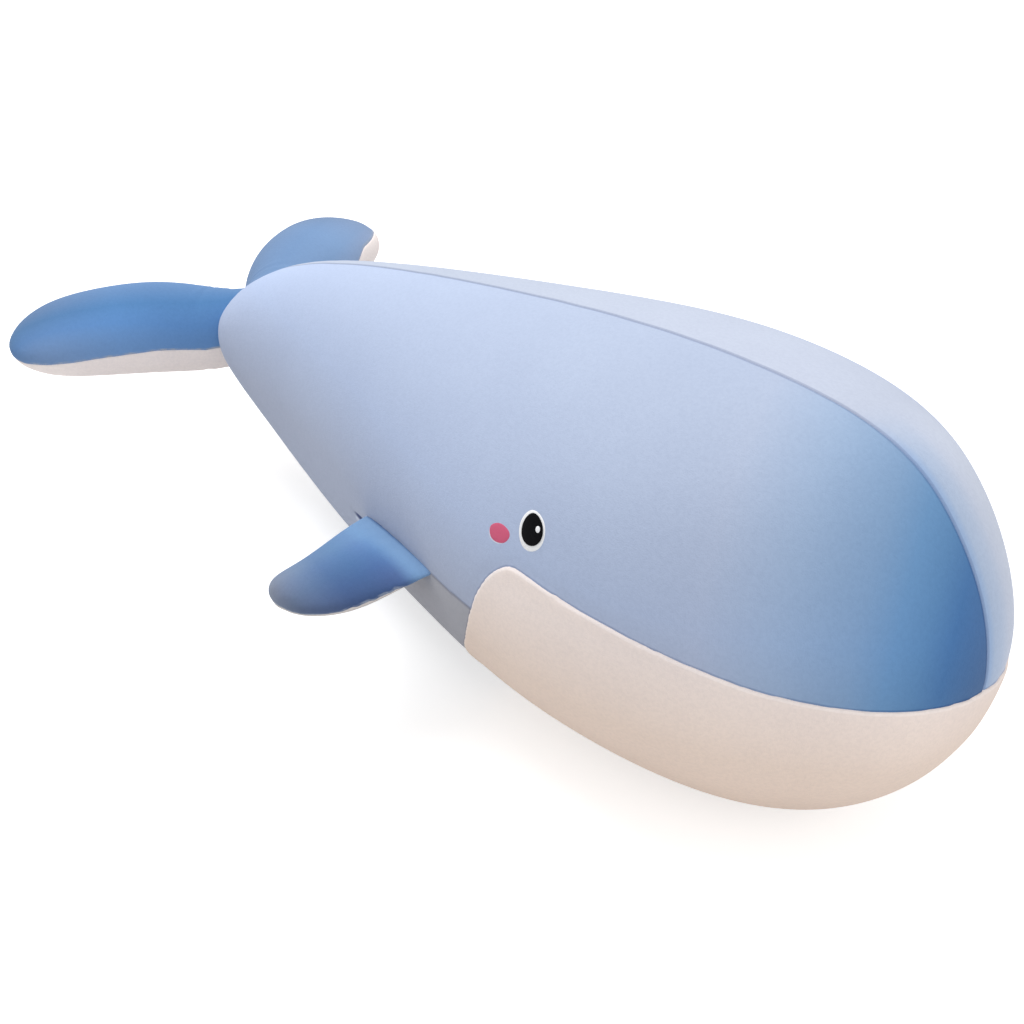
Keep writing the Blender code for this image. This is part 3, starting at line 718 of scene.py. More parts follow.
def sew_panel(source, name, measure, roll, thickness, rise=0.0, breadth=0.008, overlap=OVERLAP):
    """Cut one panel out of a stuffed form and turn its edge down into the seam.

    Measure gives, for places on the form, how far inside the panel they lie and the way further in.
    Rise lifts the cloth beside the seam, or sinks it where it is negative, over that breadth.
    """
    edit = bmesh.new()
    edit.from_mesh(source.data)
    bmesh.ops.triangulate(edit, faces=edit.faces)
    edit.verts.layers.int.new("root")
    reach = edit.verts.layers.float.new("reach")
    found = np.array([vertex.co for vertex in edit.verts])
    values = measure(found)[0] - roll
    values[np.abs(values) < roll * 0.15] = 0.0
    for vertex, value in zip(edit.verts, values):
        vertex[reach] = value
    for edge in [edge for edge in edit.edges if edge.verts[0][reach] * edge.verts[1][reach] < 0]:
        first, second = edge.verts
        share = first[reach] / (first[reach] - second[reach])
        _, fresh = bmesh.utils.edge_split(edge, first, share)
        fresh[reach] = 0.0
    for face in list(edit.faces):
        levels = [vertex[reach] for vertex in face.verts]
        if min(levels) < 0 < max(levels):
            ends = [vertex for vertex in face.verts if vertex[reach] == 0.0]
            if len(ends) == 2:
                bmesh.utils.face_split(face, ends[0], ends[1])
    edit.normal_update()
    outer = [face for face in edit.faces if min(vertex[reach] for vertex in face.verts) < 0]
    surface_normals = {vertex: vertex.normal.copy() for vertex in edit.verts if vertex[reach] >= 0.0}
    bmesh.ops.delete(edit, geom=outer, context="FACES")
    loose = [vertex for vertex in edit.verts if not vertex.link_faces]
    bmesh.ops.delete(edit, geom=loose, context="VERTS")
    even_out_rim(edit)
    rim = {vertex: vertex.co.copy() for vertex in edit.verts if vertex.is_boundary}
    if rise:
        for vertex in edit.verts:
            share = math.exp(-((vertex[reach] / breadth) ** 2))
            if share > 0.01:
                vertex.co += surface_normals[vertex] * (rise * share)
    turn_edge_down(edit, surface_normals, rim, measure, roll, overlap)
    for vertex in edit.verts:
        vertex.co.z = max(vertex.co.z, 0.0)
    mesh = bpy.data.meshes.new(name)
    edit.to_mesh(mesh)
    edit.free()
    panel = add_object(name, mesh)
    apply_modifier(panel, "SOLIDIFY", "cloth", thickness=thickness, offset=-1.0)
    return shade_smooth(panel)


def even_out_rim(edit, rounds=3):
    """Smooth the cut edge of a panel along itself."""
    beside = {}
    for edge in edit.edges:
        if edge.is_boundary:
            for vertex in edge.verts:
                beside.setdefault(vertex, []).append(edge.other_vert(vertex))
    for _ in range(rounds):
        moved = {vertex: (vertex.co * 2 + ends[0].co + ends[1].co) / 4
                 for vertex, ends in beside.items() if len(ends) == 2}
        for vertex, place in moved.items():
            vertex.co = place


def turn_edge_down(edit, surface_normals, rim, measure, roll, overlap, steps=4):
    """Roll the open edge of a panel through a quarter turn, down to the seam line and just past it."""
    edges = [edge for edge in edit.edges if edge.is_boundary]
    root = edit.verts.layers.int["root"]
    verts = list(rim)
    for index, vertex in enumerate(verts):
        vertex[root] = index + 1
    origin = np.array([vertex.co for vertex in verts])
    up = np.array([surface_normals[vertex] for vertex in verts])
    reach, inward = measure(np.array([rim[vertex] for vertex in verts]))
    corner = np.maximum(np.linalg.norm(inward, axis=1), TINY)
    inward = inward / corner[:, None]
    level = inward - up * (inward * up).sum(1)[:, None]
    length = np.linalg.norm(level, axis=1)
    outward = -level / np.maximum(length, TINY)[:, None]
    width = np.clip(reach, 0.5 * roll, 1.5 * roll) * corner / np.clip(length, 0.5, 1.0) + overlap
    for step in range(1, steps + 2):
        turned = bmesh.ops.extrude_edge_only(edit, edges=edges)["geom"]
        edges = [item for item in turned if isinstance(item, bmesh.types.BMEdge)]
        angle = min(step, steps) / steps * math.pi / 2
        extra = roll if step > steps else 0.0
        for vertex in (item for item in turned if isinstance(item, bmesh.types.BMVert)):
            index = vertex[root] - 1
            place = origin[index] + outward[index] * width[index] * math.sin(angle)
            vertex.co = place - up[index] * (roll * (1 - math.cos(angle)) + extra)


def dimples(along, distance, dents):
    """Uneven small dents along a seam, where the stitches draw the cloth in."""
    depth = np.zeros(len(along))
    for index in np.nonzero(distance < dents.width * 2.5)[0]:
        gap = distance[index]
        wave = noise.noise(Vector((along[index] / dents.pitch, dents.seed, gap / (dents.width * 3))))
        depth[index] = dents.depth * wave * math.exp(-((gap / dents.width) ** 2))
    return depth


# Materials

def feed(tree, goal, value):
    """Link a socket to an input, or set the input to a value."""
    if isinstance(value, bpy.types.NodeSocket):
        tree.links.new(value, goal)
    else:
        goal.default_value = (*value, 1.0) if goal.type == "RGBA" else value


def set_up(tree, shader_node, *in_order, **by_name):
    """Give a node its properties, and its inputs in order or by name."""
    goals = list(zip(shader_node.inputs, in_order))
    for key, value in by_name.items():
        if hasattr(shader_node, key):
            setattr(shader_node, key, value)
        else:
            goals.append((shader_node.inputs[key.replace("_", " ")], value))
    for goal, value in goals:
        feed(tree, goal, value)
    return shader_node


def node(tree, kind, *in_order, **by_name):
    """Add a node and set it up."""
    return set_up(tree, tree.nodes.new(kind), *in_order, **by_name)


def ramp(tree, source, stops):
    """A colour ramp on a value."""
    fresh = node(tree, "ShaderNodeValToRGB", Fac=source)
    band = fresh.color_ramp
    while len(band.elements) < len(stops):
        band.elements.new(0.5)
    for element, (position, colour) in zip(band.elements, stops):
        element.position = position
        element.color = (*colour, 1.0)
    return fresh.outputs["Color"]


def spread(tree, source, low, high, way="SMOOTHSTEP"):
    """Map a value from a range onto 0 to 1, smoothly unless another way is given."""
    return node(tree, "ShaderNodeMapRange", interpolation_type=way,
                Value=source, From_Min=low, From_Max=high).outputs["Result"]


def blend_colour(tree, share, first, second, way="MIX"):
    """Mix two colours, each a socket or a constant, by a share."""
    fresh = node(tree, "ShaderNodeMix", data_type="RGBA", blend_type=way)
    enabled = {item.name: item for item in fresh.inputs if item.enabled}
    for name, value in (("Factor", share), ("A", first), ("B", second)):
        feed(tree, enabled[name], value)
    return next(item for item in fresh.outputs if item.enabled)


def new_material(name):
    """A new material and its nodes."""
    material = bpy.data.materials.new(name)
    material.use_nodes = True
    return material, material.node_tree


def piece_places(tree):
    """The places on the piece that wears a material."""
    return node(tree, "ShaderNodeTexCoord").outputs["Object"]


def finished(material, colour, height, relief, depth, **settings):
    """A material with its colour, a relief that follows the height, and its other settings."""
    tree = material.node_tree
    bump = node(tree, "ShaderNodeBump", Strength=relief, Distance=depth, Height=height)
    set_up(tree, tree.nodes["Principled BSDF"], Base_Color=colour, Normal=bump.outputs["Normal"], **settings)
    return material


def noise_on(tree, where, scale, detail, roughness, distortion=0.0):
    """Noise over the places of a piece."""
    return node(tree, "ShaderNodeTexNoise", Vector=where, Scale=scale, Detail=detail,
                Roughness=roughness, Distortion=distortion).outputs["Fac"]


def velvet(name, colour_of, sheen_tint):
    """Short-pile velvet: faint brushed patches, fine grain and a raised pile."""
    material, tree = new_material(name)
    where = piece_places(tree)
    grain = noise_on(tree, where, *GRAIN)
    colour = colour_of(tree, where)
    for texture, tones in ((noise_on(tree, where, *BRUSHED), BRUSHED_TONES), (grain, GRAIN_TONES)):
        colour = blend_colour(tree, 1.0, colour, ramp(tree, texture, tones), "MULTIPLY")
    tufts = noise_on(tree, where, *TUFTS)
    pile = node(tree, "ShaderNodeMath", grain, GRAIN_SHARE, tufts, operation="MULTIPLY_ADD").outputs[0]
    return finished(
        material, colour, pile, relief=0.22, depth=0.001, Roughness=0.9, Specular_IOR_Level=0.12,
        Sheen_Weight=0.12, Sheen_Roughness=0.45, Sheen_Tint=sheen_tint)


def fibre(name):
    """Loose white polyester fibre."""
    material, tree = new_material(name)
    where = piece_places(tree)
    strands = noise_on(tree, where, *FIBRE)
    shade = ramp(tree, strands, FIBRE_TONES)
    return finished(material, shade, strands, relief=0.4, depth=0.001, Roughness=0.95)


def by_seam(tree, width):
    """1 at the seams of a piece, falling to 0 at that distance from them."""
    reach = node(tree, "ShaderNodeAttribute", attribute_name="reach")
    return spread(tree, reach.outputs["Fac"], width, 0.0)


def axes(tree, where):
    """Separate places into x, y and z."""
    return node(tree, "ShaderNodeSeparateXYZ", where).outputs


def banded(tree, value, stops):
    """Colours at given values of a distance, blended in between."""
    low, high = stops[0][0], stops[-1][0]
    share = spread(tree, value, low, high, "LINEAR")
    return ramp(tree, share, [((at - low) / (high - low), colour) for at, colour in stops])


def distance_along(tree, where, start, way):
    """How far places lie from a start in a direction."""
    offset = node(tree, "ShaderNodeVectorMath", where, start, operation="SUBTRACT").outputs["Vector"]
    return node(tree, "ShaderNodeVectorMath", offset, way, operation="DOT_PRODUCT").outputs["Value"]


def spot(tree, where, middle, turn, size):
    """1 in the middle of an oval with those half sizes, falling to 0 at its edge."""
    laid = node(tree, "ShaderNodeMapping", vector_type="TEXTURE",
                Vector=where, Location=middle, Rotation=turn, Scale=size)
    away = node(tree, "ShaderNodeVectorMath", laid.outputs["Vector"], operation="LENGTH")
    return spread(tree, away.outputs["Value"], *SPOT_FADE)


def painted_nap_shade(tree, cloth, x, y, side):
    """Pale blue that darkens to the nose in painted nap shade, most of all beside the back seam."""
    ahead = node(tree, "ShaderNodeMath", y, -side * NOSE_SLANT, x, operation="MULTIPLY_ADD").outputs[0]
    return banded(tree, ahead, (
        (NOSE_START, tuple(cloth.body_blue)), *NOSE_NAP_SHADE_BLUES, (NOSE_FINISH, tuple(cloth.nose_blue))))


def near_side_colour(cloth):
    """The right side: blue with painted nap shade to the nose, painted shade and warm bounce light low down,
    painted shade at its seams, and painted shade in the crease behind the fin with a painted highlight on the
    fold below it.
    """
    def colour_of(tree, where):
        x, y, z = axes(tree, where)
        blue = seam_painted_light(tree, painted_nap_shade(tree, cloth, x, y, -1), SEAM_PAINTED_SHADE, SEAM_PAINTED_SHADE_WIDTH)
        # Painted shade and warm bounce light by height
        blue = blend_colour(tree, 1.0, blue, banded(tree, z, BLUE_LIGHT_BY_HEIGHT), "MULTIPLY")
        # Painted highlight on the fold and painted shade in the crease behind the fin
        blue = blend_colour(tree, spot(tree, where, *FOLD), blue, FOLD_PAINTED_HIGHLIGHT)
        return blend_colour(tree, spot(tree, where, *CREASE), blue, CREASE_PAINTED_SHADE)
    return colour_of


def far_side_colour(cloth):
    """The left side: pale in painted sheen, bluer beside the back seam at the nose, and with the right side's
    painted nap shade further out.
    """
    def colour_of(tree, where):
        x, y, _ = axes(tree, where)
        back = banded(tree, x, tuple(zip(FAR_BACK_FADE, (FAR_TAIL_BLUE, tuple(cloth.far_blue)))))
        # Painted sheen: the left side pales away from the back seam at the nose
        pale = blend_colour(tree, spread(tree, x, *FAR_NOSE_FADE), back, banded(tree, y, FAR_NOSE_SHEEN_BLUES))
        both = blend_colour(tree, spread(tree, y, *FAR_NAP_SHADE_FADE), pale, painted_nap_shade(tree, cloth, x, y, 1))
        return seam_painted_light(tree, both, SEAM_PAINTED_SHADE, SEAM_PAINTED_SHADE_WIDTH)
    return colour_of


def seam_painted_light(tree, colour, tint, width):
    """A colour with the painted shade or painted highlight that it is given where the cloth turns down into a
    seam.
    """
    return blend_colour(tree, by_seam(tree, width), colour, tint, "MULTIPLY")


def plain_colour(colour, tones=((0.0, WHITE), (1.0, WHITE)), tint=WHITE, width=LIP_PAINTED_HIGHLIGHT_WIDTH):
    """One colour, with other tones by height that are painted light on the cream, and with the painted shade or
    painted highlight that it is given where the cloth turns into its seams.
    """
    def colour_of(tree, where):
        stops = [(at, tuple(part * factor for part, factor in zip(colour, factors))) for at, factors in tones]
        return seam_painted_light(tree, banded(tree, axes(tree, where)[2], stops), tint, width)
    return colour_of


def worn_seam(tree, where, body):
    """The colour of a limb, with a pale worn line here and there along its seam."""
    patchy = spread(tree, noise_on(tree, where, *WORN), *WORN_PATCHES)
    both = node(tree, "ShaderNodeMath", patchy, by_seam(tree, WORN_WIDTH), operation="MULTIPLY")
    return blend_colour(tree, both.outputs[0], body, WORN_BLUE)


def fin_colour(side):
    """Blue of a fin's upper cloth with painted light: painted shade in the root line, a painted highlight
    beside it, then painted shade further out and to the front.
    """
    def colour_of(tree, where):
        start, forward, outward, _ = (mirrored(vector, side) for vector in fin_frame())
        out = distance_along(tree, where, start, outward)
        front = banded(tree, distance_along(tree, where, start, forward), FIN_FRONT_PAINTED_SHADE)
        tones = blend_colour(tree, spread(tree, out, *FIN_TONE_FADE), WHITE, front)
        return worn_seam(tree, where, blend_colour(tree, 1.0, banded(tree, out, FIN_BLUES_PAINTED_LIGHT), tones, "MULTIPLY"))
    return colour_of


def fluke_colour(tree, where):
    """Blue of the flukes' upper cloth, paler on the left one."""
    shades = []
    for side, blues in ((-1, FLUKE_BLUES), (1, FAR_FLUKE_BLUES)):
        start, forward, outward, _ = (mirrored(vector, side) for vector in fluke_frame())
        tones = banded(tree, distance_along(tree, where, start, outward), FLUKE_TIP_TONES)
        blue = banded(tree, distance_along(tree, where, start, forward), blues)
        shades.append(blend_colour(tree, 1.0, blue, tones, "MULTIPLY"))
    y = axes(tree, where)[1]
    return worn_seam(tree, where, blend_colour(tree, spread(tree, y, *MIDDLE_FADE), *shades))


def thread(name, colour, turn, place, gloss):
    """Satin stitch: close parallel threads with a soft gloss."""
    material, tree = new_material(name)
    where = piece_places(tree)
    laid = node(tree, "ShaderNodeMapping", vector_type="TEXTURE", Vector=where, Location=place, Rotation=turn)
    strands = node(
        tree, "ShaderNodeTexWave", wave_type="BANDS", bands_direction="X", wave_profile="SIN",
        Vector=laid.outputs["Vector"], Scale=WAVE_SCALE / THREAD_WIDTH, Distortion=0.6, Detail=1.0,
        Detail_Scale=0.4).outputs["Fac"]
    shade = ramp(tree, strands, ((0.10, tuple(THREAD_SHADE * part for part in colour)), (0.60, colour)))
    return finished(
        material, shade, strands, relief=0.5, depth=0.0002, Roughness=0.6, Specular_IOR_Level=gloss)


def dress(piece, material, body, slot, nodes):
    """Give a piece its material and its body, and hide the nodes that it stands for. The slot is not used."""
    piece.data.materials.clear()
    piece.data.materials.append(material)
    if nodes:
        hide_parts(*nodes)
    if body:
        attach(piece, body)


def filling(form, name, depth):
    """The stuffing: a copy of a sewn form, drawn in under the cloth."""
    inner = copied(form, name)
    put(inner, places(inner) - normals(inner) * depth)
    return shade_smooth(inner)


# Body

def ring_of(place):
    """The points of one ring of a cage, whose place is given for the turn round it."""
    return [place(2 * math.pi * step / RING) for step in range(RING)]


def body_ring(section):
    """Cage points round one body section, from the top down the right side and up the left."""
    def place(turn):
        up = rounded(math.cos(turn), BODY_SQUARENESS)
        right = rounded(math.sin(turn), BODY_SQUARENESS)
        reach = section.top - section.widest if up > 0 else section.widest - section.bottom
        return section.along, -section.half_width * right, section.widest + reach * up
    return ring_of(place)


def near_back_seam(found):
    """How firmly the back seam holds places on the body, less towards the tail."""
    fade = np.maximum(past(found[:, 0], BACK_FADE), 0.35)
    return np.where(found[:, 2] > BACK_HEIGHT, fade * falloff(found[:, 1], SEAM_WIDTH), 0.0)


def sewn_body(cloth):
    """The stuffed body before it is cut into panels, with the cloth drawn in along its seams."""
    body = cage("body_form", [body_ring(section) for section in BODY_SECTIONS], TAIL_END, NOSE_END)
    subdivide(body, 4)
    seams = body_seams(surface_of(body))

    def hold(found):
        reach = body_reach(found, seams)
        nearest = np.minimum(np.abs(reach["belly"][0]), np.abs(reach["chin"][0]))
        return np.maximum(falloff(nearest, SEAM_WIDTH), near_back_seam(found))

    stuff(body, cloth.body_voxel, cloth.body_swell, hold)
    inner = filling(body, "body_filling", cloth.filling_depth)
    dress(inner, fibre("body_fibre"), "body", "stuffing", ("body_stuffing",))
    subdivide(body, 1)
    found, out = places(body), normals(body)
    chin_distance, chin_along, _ = line_reach(found, seams.chin)
    belly_distance, belly_along, _ = line_reach(on_right(found), seams.belly)
    nearest = np.where(in_chin(found), 1.0, np.minimum(chin_distance, belly_distance))
    lift = -SEAM_SINK * falloff(nearest, SEAM_WIDTH) - BACK_SINK * np.sqrt(near_back_seam(found))
    lift += dimples(belly_along, belly_distance, BELLY_DENTS)
    lift += dimples(chin_along, chin_distance, CHIN_DENTS)
    back_dents = dimples(found[:, 0], np.abs(found[:, 1]), BACK_DENTS)
    lift += np.where(found[:, 2] > BACK_HEIGHT, back_dents, 0.0)
    lift -= TUCK_DEPTH * falloff(line_reach(found[:, ::2], np.array(TUCK))[0], TUCK_WIDTH)
    lift *= past(found[:, 2], FLOOR_FADE)
    put(body, found + out * lift[:, None])
    return body, seams


def make_body(cloth):
    """Cut the stuffed body into its four velvet panels."""
    body, seams = sewn_body(cloth)
    # The belly: painted shade over all and at its seams
    belly_colour = plain_colour(cloth.belly_blue, tint=SEAM_PAINTED_SHADE, width=SEAM_PAINTED_SHADE_WIDTH)
    # The jaw: painted light by height and a painted highlight on its lip
    cream_colour = plain_colour(cloth.cream, CREAM_LIGHT_BY_HEIGHT, LIP_PAINTED_HIGHLIGHT)
    seam, lip = (cloth.seam_roll, 0.0, OVERLAP), (cloth.lip_roll, cloth.lip_rise, LIP_OVERLAP)
    for name, (roll, rise, overlap), colour_of, sheen, slot, replaced in (
        ("right_side", seam, near_side_colour(cloth), BLUE_SHEEN, "pale_blue_velvet", "side_panel_right"),
        ("left_side", seam, far_side_colour(cloth), BLUE_SHEEN, "pale_blue_velvet", "side_panel_left"),
        ("belly", seam, belly_colour, BLUE_SHEEN, "pale_blue_velvet", "belly_panel"),
        ("chin", lip, cream_colour, CREAM_SHEEN, "cream_velvet", "chin_panel"),
    ):
        def measure(found, name=name):
            return body_reach(found, seams)[name]
        panel = sew_panel(body, name, measure, roll, cloth.thickness, rise, overlap=overlap)
        dress(panel, velvet(f"{name}_velvet", colour_of, sheen), "body", slot, (replaced,))
    surface = surface_of(body)
    bpy.data.objects.remove(body, do_unlink=True)
    return surface


# Fins and flukes

def limb_point(basis, spot):
    """The place of a spot given as distances out, forward and up in a limb's own directions."""
    start, forward, outward, upward = basis
    return start + outward * spot[0] + forward * spot[1] + upward * spot[2]


def limb_ring(basis, section):
    """Cage points round one section of a fin or fluke."""
    return ring_of(lambda turn: limb_point(basis, (
        section.out, section.centre + section.half_chord * math.cos(turn),
        section.height + section.half_thickness * math.sin(turn))))


def stuffed_limb(form, voxel, cloth, held):
    """Stuff the form of a limb, and return its filling with the places and normals of its fine cloth."""
    subdivide(form, 3)
    stuff(form, voxel, cloth.limb_swell, held)
    inner = filling(form, form.name.replace("_form", "_filling"), cloth.filling_depth)
    subdivide(form, 1)
    return inner, places(form), normals(form)


def limb_panel(form, word, seam, way, cloth):
    """The panel of a limb above its seam, or below it where the way is -1."""
    def measure(found):
        height, up = seam(found)
        return height * way, up * way
    name = form.name.replace("_form", "_" + word)
    return sew_panel(form, name, measure, cloth.limb_seam_roll, cloth.thickness)


def above_middle(basis, heights, found):
    """Distances out, forward and above the middle of a limb, whose height follows the given spots."""
    start, forward, outward, upward = (np.array(vector) for vector in basis)
    offset = found - start
    out = offset @ outward
    middle = np.interp(out, [spot[0] for spot in heights], [spot[1] for spot in heights])
    return out, offset @ forward, offset @ upward - middle


def eased(share):
    """A share from 0 to 1 with a soft start and end."""
    share = np.clip(share, 0.0, 1.0)
    return share * share * (3 - 2 * share)


def fin_frame():
    """Hinge start, and the directions forward along the hinge, outward and up through the right fin."""
    forward = (FIN_ROOT_FRONT - FIN_ROOT_REAR).normalized()
    level = Vector((forward.y, -forward.x, 0)).normalized()
    start = FIN_ROOT_REAR + level * FIN_HINGE_OFFSET
    outward = level * math.cos(FIN_DROOP) - Vector((0, 0, 1)) * math.sin(FIN_DROOP)
    outward = (outward - forward * outward.dot(forward)).normalized()
    upward = forward.cross(outward)
    if upward.z < 0:
        upward = -upward
    return start, forward, outward, upward


def fin_cage():
    """The right fin's cage."""
    basis = fin_frame()
    rings = [limb_ring(basis, section) for section in FIN_SECTIONS]
    return cage("right_fin_form", rings, limb_point(basis, FIN_ROOT_END), limb_point(basis, FIN_TIP_END))


def fin_seam(found):
    """Height of places above the right fin's seam, which runs under the front edge."""
    heights = [(section.out, section.height) for section in FIN_SECTIONS]
    out, ahead, height = above_middle(fin_frame(), heights, found)
    tip = past(out, FIN_TIP)
    uneven = sum(size * np.sin(out * rate + shift) for size, rate, shift in FIN_WAVES)
    drop = (FIN_SEAM_DROP + uneven) * past(ahead, FIN_FRONT) * (1 - tip) + FIN_TIP_DROP * tip
    corners = short_of(ahead, FIN_REAR_CORNER) + past(ahead, FIN_FRONT_CORNER)
    drop += FIN_ROOT_DROP * short_of(out, FIN_ROOT) * corners
    return height + drop, np.broadcast_to(np.array(fin_frame()[3]), found.shape).copy()


def fin_hold(found):
    """How firmly the rim seam and the root hold the fin's cloth."""
    start, _, outward, _ = (np.array(vector) for vector in fin_frame())
    root = 1 - past((found - start) @ outward, FIN_ROOT_HELD)
    return np.maximum(falloff(fin_seam(found)[0], FIN_RIM_WIDTH) * RIM_HOLD, root * ROOT_HOLD)


def mirror_copy(piece, name):
    """A copy on the other side of the whale, with its own mesh."""
    copy = copied(piece, name)
    copy.data.transform(Matrix.Scale(-1, 4, (0, 1, 0)))
    copy.data.flip_normals()
    return copy


def make_fins(cloth):
    """Two stuffed fins, each sewn from a blue and a cream panel."""
    form = fin_cage()
    inner, found, out = stuffed_limb(form, None, cloth, fin_hold)
    start, forward, outward, _ = (np.array(vector) for vector in fin_frame())
    ahead, away = (found - start) @ forward, (found - start) @ outward
    lift = dimples(ahead, np.abs(fin_seam(found)[0]), FIN_RIM_DENTS)
    lift += dimples(ahead, np.abs(away - FIN_ROOT_LINE), FIN_ROOT_DENTS)
    put(form, found + out * lift[:, None])
    hinge = Vector(start + forward * FIN_HINGE_MIDDLE)
    far = hinge + Vector(outward) * FIN_BLEND_LENGTH
    panels = (limb_panel(form, word, fin_seam, way, cloth) for word, way in PANEL_WAYS)
    pairs = [(right, mirror_copy(right, right.name.replace("right", "left")))
             for right in chain((inner,), panels)]
    blues = [velvet(f"{word}_fin_velvet", fin_colour(side), DEEP_BLUE_SHEEN) for word, side in SIDES]
    lining = velvet("fin_lining_velvet", plain_colour(cloth.fin_lining), LINING_SHEEN)
    loose = fibre("fin_fibre")
    for pair, (finishes, slot, node_start) in zip(pairs, (
        ((loose, loose), "stuffing", "fin_stuffing_"),
        (blues, "mid_blue_velvet", "fin_top_panel_"),
        ((lining, lining), "cream_velvet", "fin_bottom_panel_"),
    )):
        for (word, side), piece, finish in zip(SIDES, pair, finishes):
            dress(piece, finish, None, slot, (node_start + word,))
            start, end = tuple(mirrored(hinge, side)), tuple(mirrored(far, side))
            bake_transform(piece)
    bpy.data.objects.remove(form, do_unlink=True)


def fluke_frame():
    """Middle of the right fluke, and the directions forward, outward and up in it."""
    level = math.cos(FLUKE_DROOP)
    outward = Vector((-math.sin(FLUKE_SWEEP) * level, -math.cos(FLUKE_SWEEP) * level, -math.sin(FLUKE_DROOP)))
    flat_forward = Vector((math.cos(FLUKE_SWEEP), -math.sin(FLUKE_SWEEP), 0))
    flat_up = flat_forward.cross(outward)
    if flat_up.z < 0:
        flat_up = -flat_up
    forward = flat_forward * math.cos(FLUKE_ROLL) + flat_up * math.sin(FLUKE_ROLL)
    upward = flat_up * math.cos(FLUKE_ROLL) - flat_forward * math.sin(FLUKE_ROLL)
    return FLUKE_CENTRE, forward, outward, upward


def tail_cage():
    """Both flukes in one cage, from the right tip over the bridge to the left tip."""
    basis = fluke_frame()
    fluke = [limb_ring(basis, section) for section in FLUKE_SECTIONS]
    bridge = ring_of(lambda turn: TAIL_BRIDGE_CENTRE + Vector((
        TAIL_BRIDGE_HALF_CHORD * math.cos(turn), 0, TAIL_BRIDGE_HALF_THICKNESS * math.sin(turn))))
    left = []
    for section, trim in zip(FLUKE_SECTIONS, FAR_REAR_TRIM):
        slim = section._replace(centre=section.centre + trim / 2, half_chord=section.half_chord - trim / 2)
        left.append([mirrored(point, 1) for point in limb_ring(basis, slim)])
    tip = limb_point(basis, FLUKE_TIP_END)
    return cage("tail_form", fluke[::-1] + [bridge] + left, tip, mirrored(tip, 1))


def tail_seam(found):
    """Height of places above the seam round both flukes, which runs through their middle."""
    basis = fluke_frame()
    bridge = TAIL_BRIDGE_CENTRE - basis[0]
    heights = [(bridge.dot(basis[2]), bridge.dot(basis[3]))]
    heights += [(section.out, section.height) for section in FLUKE_SECTIONS]
    out, ahead, height = above_middle(basis, heights, on_right(found))
    raised = eased(past(ahead, FAR_RISE_FORWARD)) * eased(past(out, FAR_RISE_OUT))
    height = height - np.where(found[:, 1] > 0, FAR_SEAM_RISE * raised, 0.0)
    return height, mirror_left(np.broadcast_to(np.array(basis[3]), found.shape).copy(), found)


def tail_hold(found):
    """How firmly the rim seam holds the flukes' cloth."""
    return falloff(tail_seam(found)[0], TAIL_RIM_WIDTH) * RIM_HOLD


def make_tail(cloth):
    """Both flukes, sewn from a blue and a cream panel."""
    form = tail_cage()
    inner, found, out = stuffed_limb(form, cloth.limb_voxel, cloth, tail_hold)
    height = tail_seam(found)[0]
    lift = dimples(found[:, 1] + found[:, 0], np.abs(height), FLUKE_DENTS)
    root = np.hypot(found[:, 1], found[:, 0] - PUCKER_CENTRE)
    around = np.arctan2(found[:, 1], found[:, 0] + 0.33) * 0.05
    pucker = np.where(height < 0, PUCKER_BOTTOM, PUCKER_TOP)
    lift += dimples(around, np.abs(root - PUCKER_RADIUS), TAIL_PUCKERS) * pucker
    put(form, found + out * lift[:, None])
    top, bottom = (limb_panel(form, word, tail_seam, way, cloth) for word, way in PANEL_WAYS)
    blue = velvet("tail_velvet", fluke_colour, DEEP_BLUE_SHEEN)
    lining = velvet("tail_lining_velvet", plain_colour(cloth.lining), CREAM_SHEEN)
    for piece, finish, slot, nodes in (
        (inner, fibre("tail_fibre"), "stuffing", ("fluke_stuffing_right", "fluke_stuffing_left")),
        (top, blue, "mid_blue_velvet", ("tail_top_panel",)),
        (bottom, lining, "cream_velvet", ("tail_bottom_panel",)),
    ):
        dress(piece, finish, None, slot, nodes)
        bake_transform(piece)
    bpy.data.objects.remove(form, do_unlink=True)


# Face

def patch_frame(centre, lean, side, surface):
    """Directions across, along and out of a patch that lies on the cloth and leans back."""
    origin, out, _, _ = surface.find_nearest(mirrored(centre, side))
    upright = (Vector((0, 0, 1)) - out * out.z).normalized()
    ahead = (Vector((1, 0, 0)) - out * out.x).normalized()
    along = upright * math.cos(lean) - ahead * math.sin(lean)
    across = ahead * math.cos(lean) + upright * math.sin(lean)
    return across.normalized(), along.normalized(), out, origin


def stitched_patch(name, lay, surface, shape, height, lift, turned):
    """A domed pad of satin stitch that follows the cloth, from a flattened sphere.

    Shape gives the place on the cloth for a direction and a share of the way to the edge.
    """
    across, along, out, origin = lay
    select_only(None)
    bpy.ops.mesh.primitive_uv_sphere_add(segments=48, ring_count=24, radius=1.0, location=(0, 0, 0))
    pad = bpy.context.object
    pad.name = name
    pad.data.name = name
    moved = []
    for vertex in pad.data.vertices:
        x, y, z = vertex.co
        share = min(1.0, math.hypot(x, y))
        side, up = shape(math.atan2(y, x), share)
        on_cloth = origin + across * side + along * up
        place, cloth_out, _, _ = surface.ray_cast(on_cloth + out * PATCH_RAY, -out)
        dome = height * rounded(z, DOME_POWER) if z > 0 else PATCH_UNDERSIDE * z
        moved.append(place + cloth_out * (dome + lift))
    put(pad, np.array(moved))
    if turned:
        pad.data.flip_normals()
    return shade_smooth(pad)


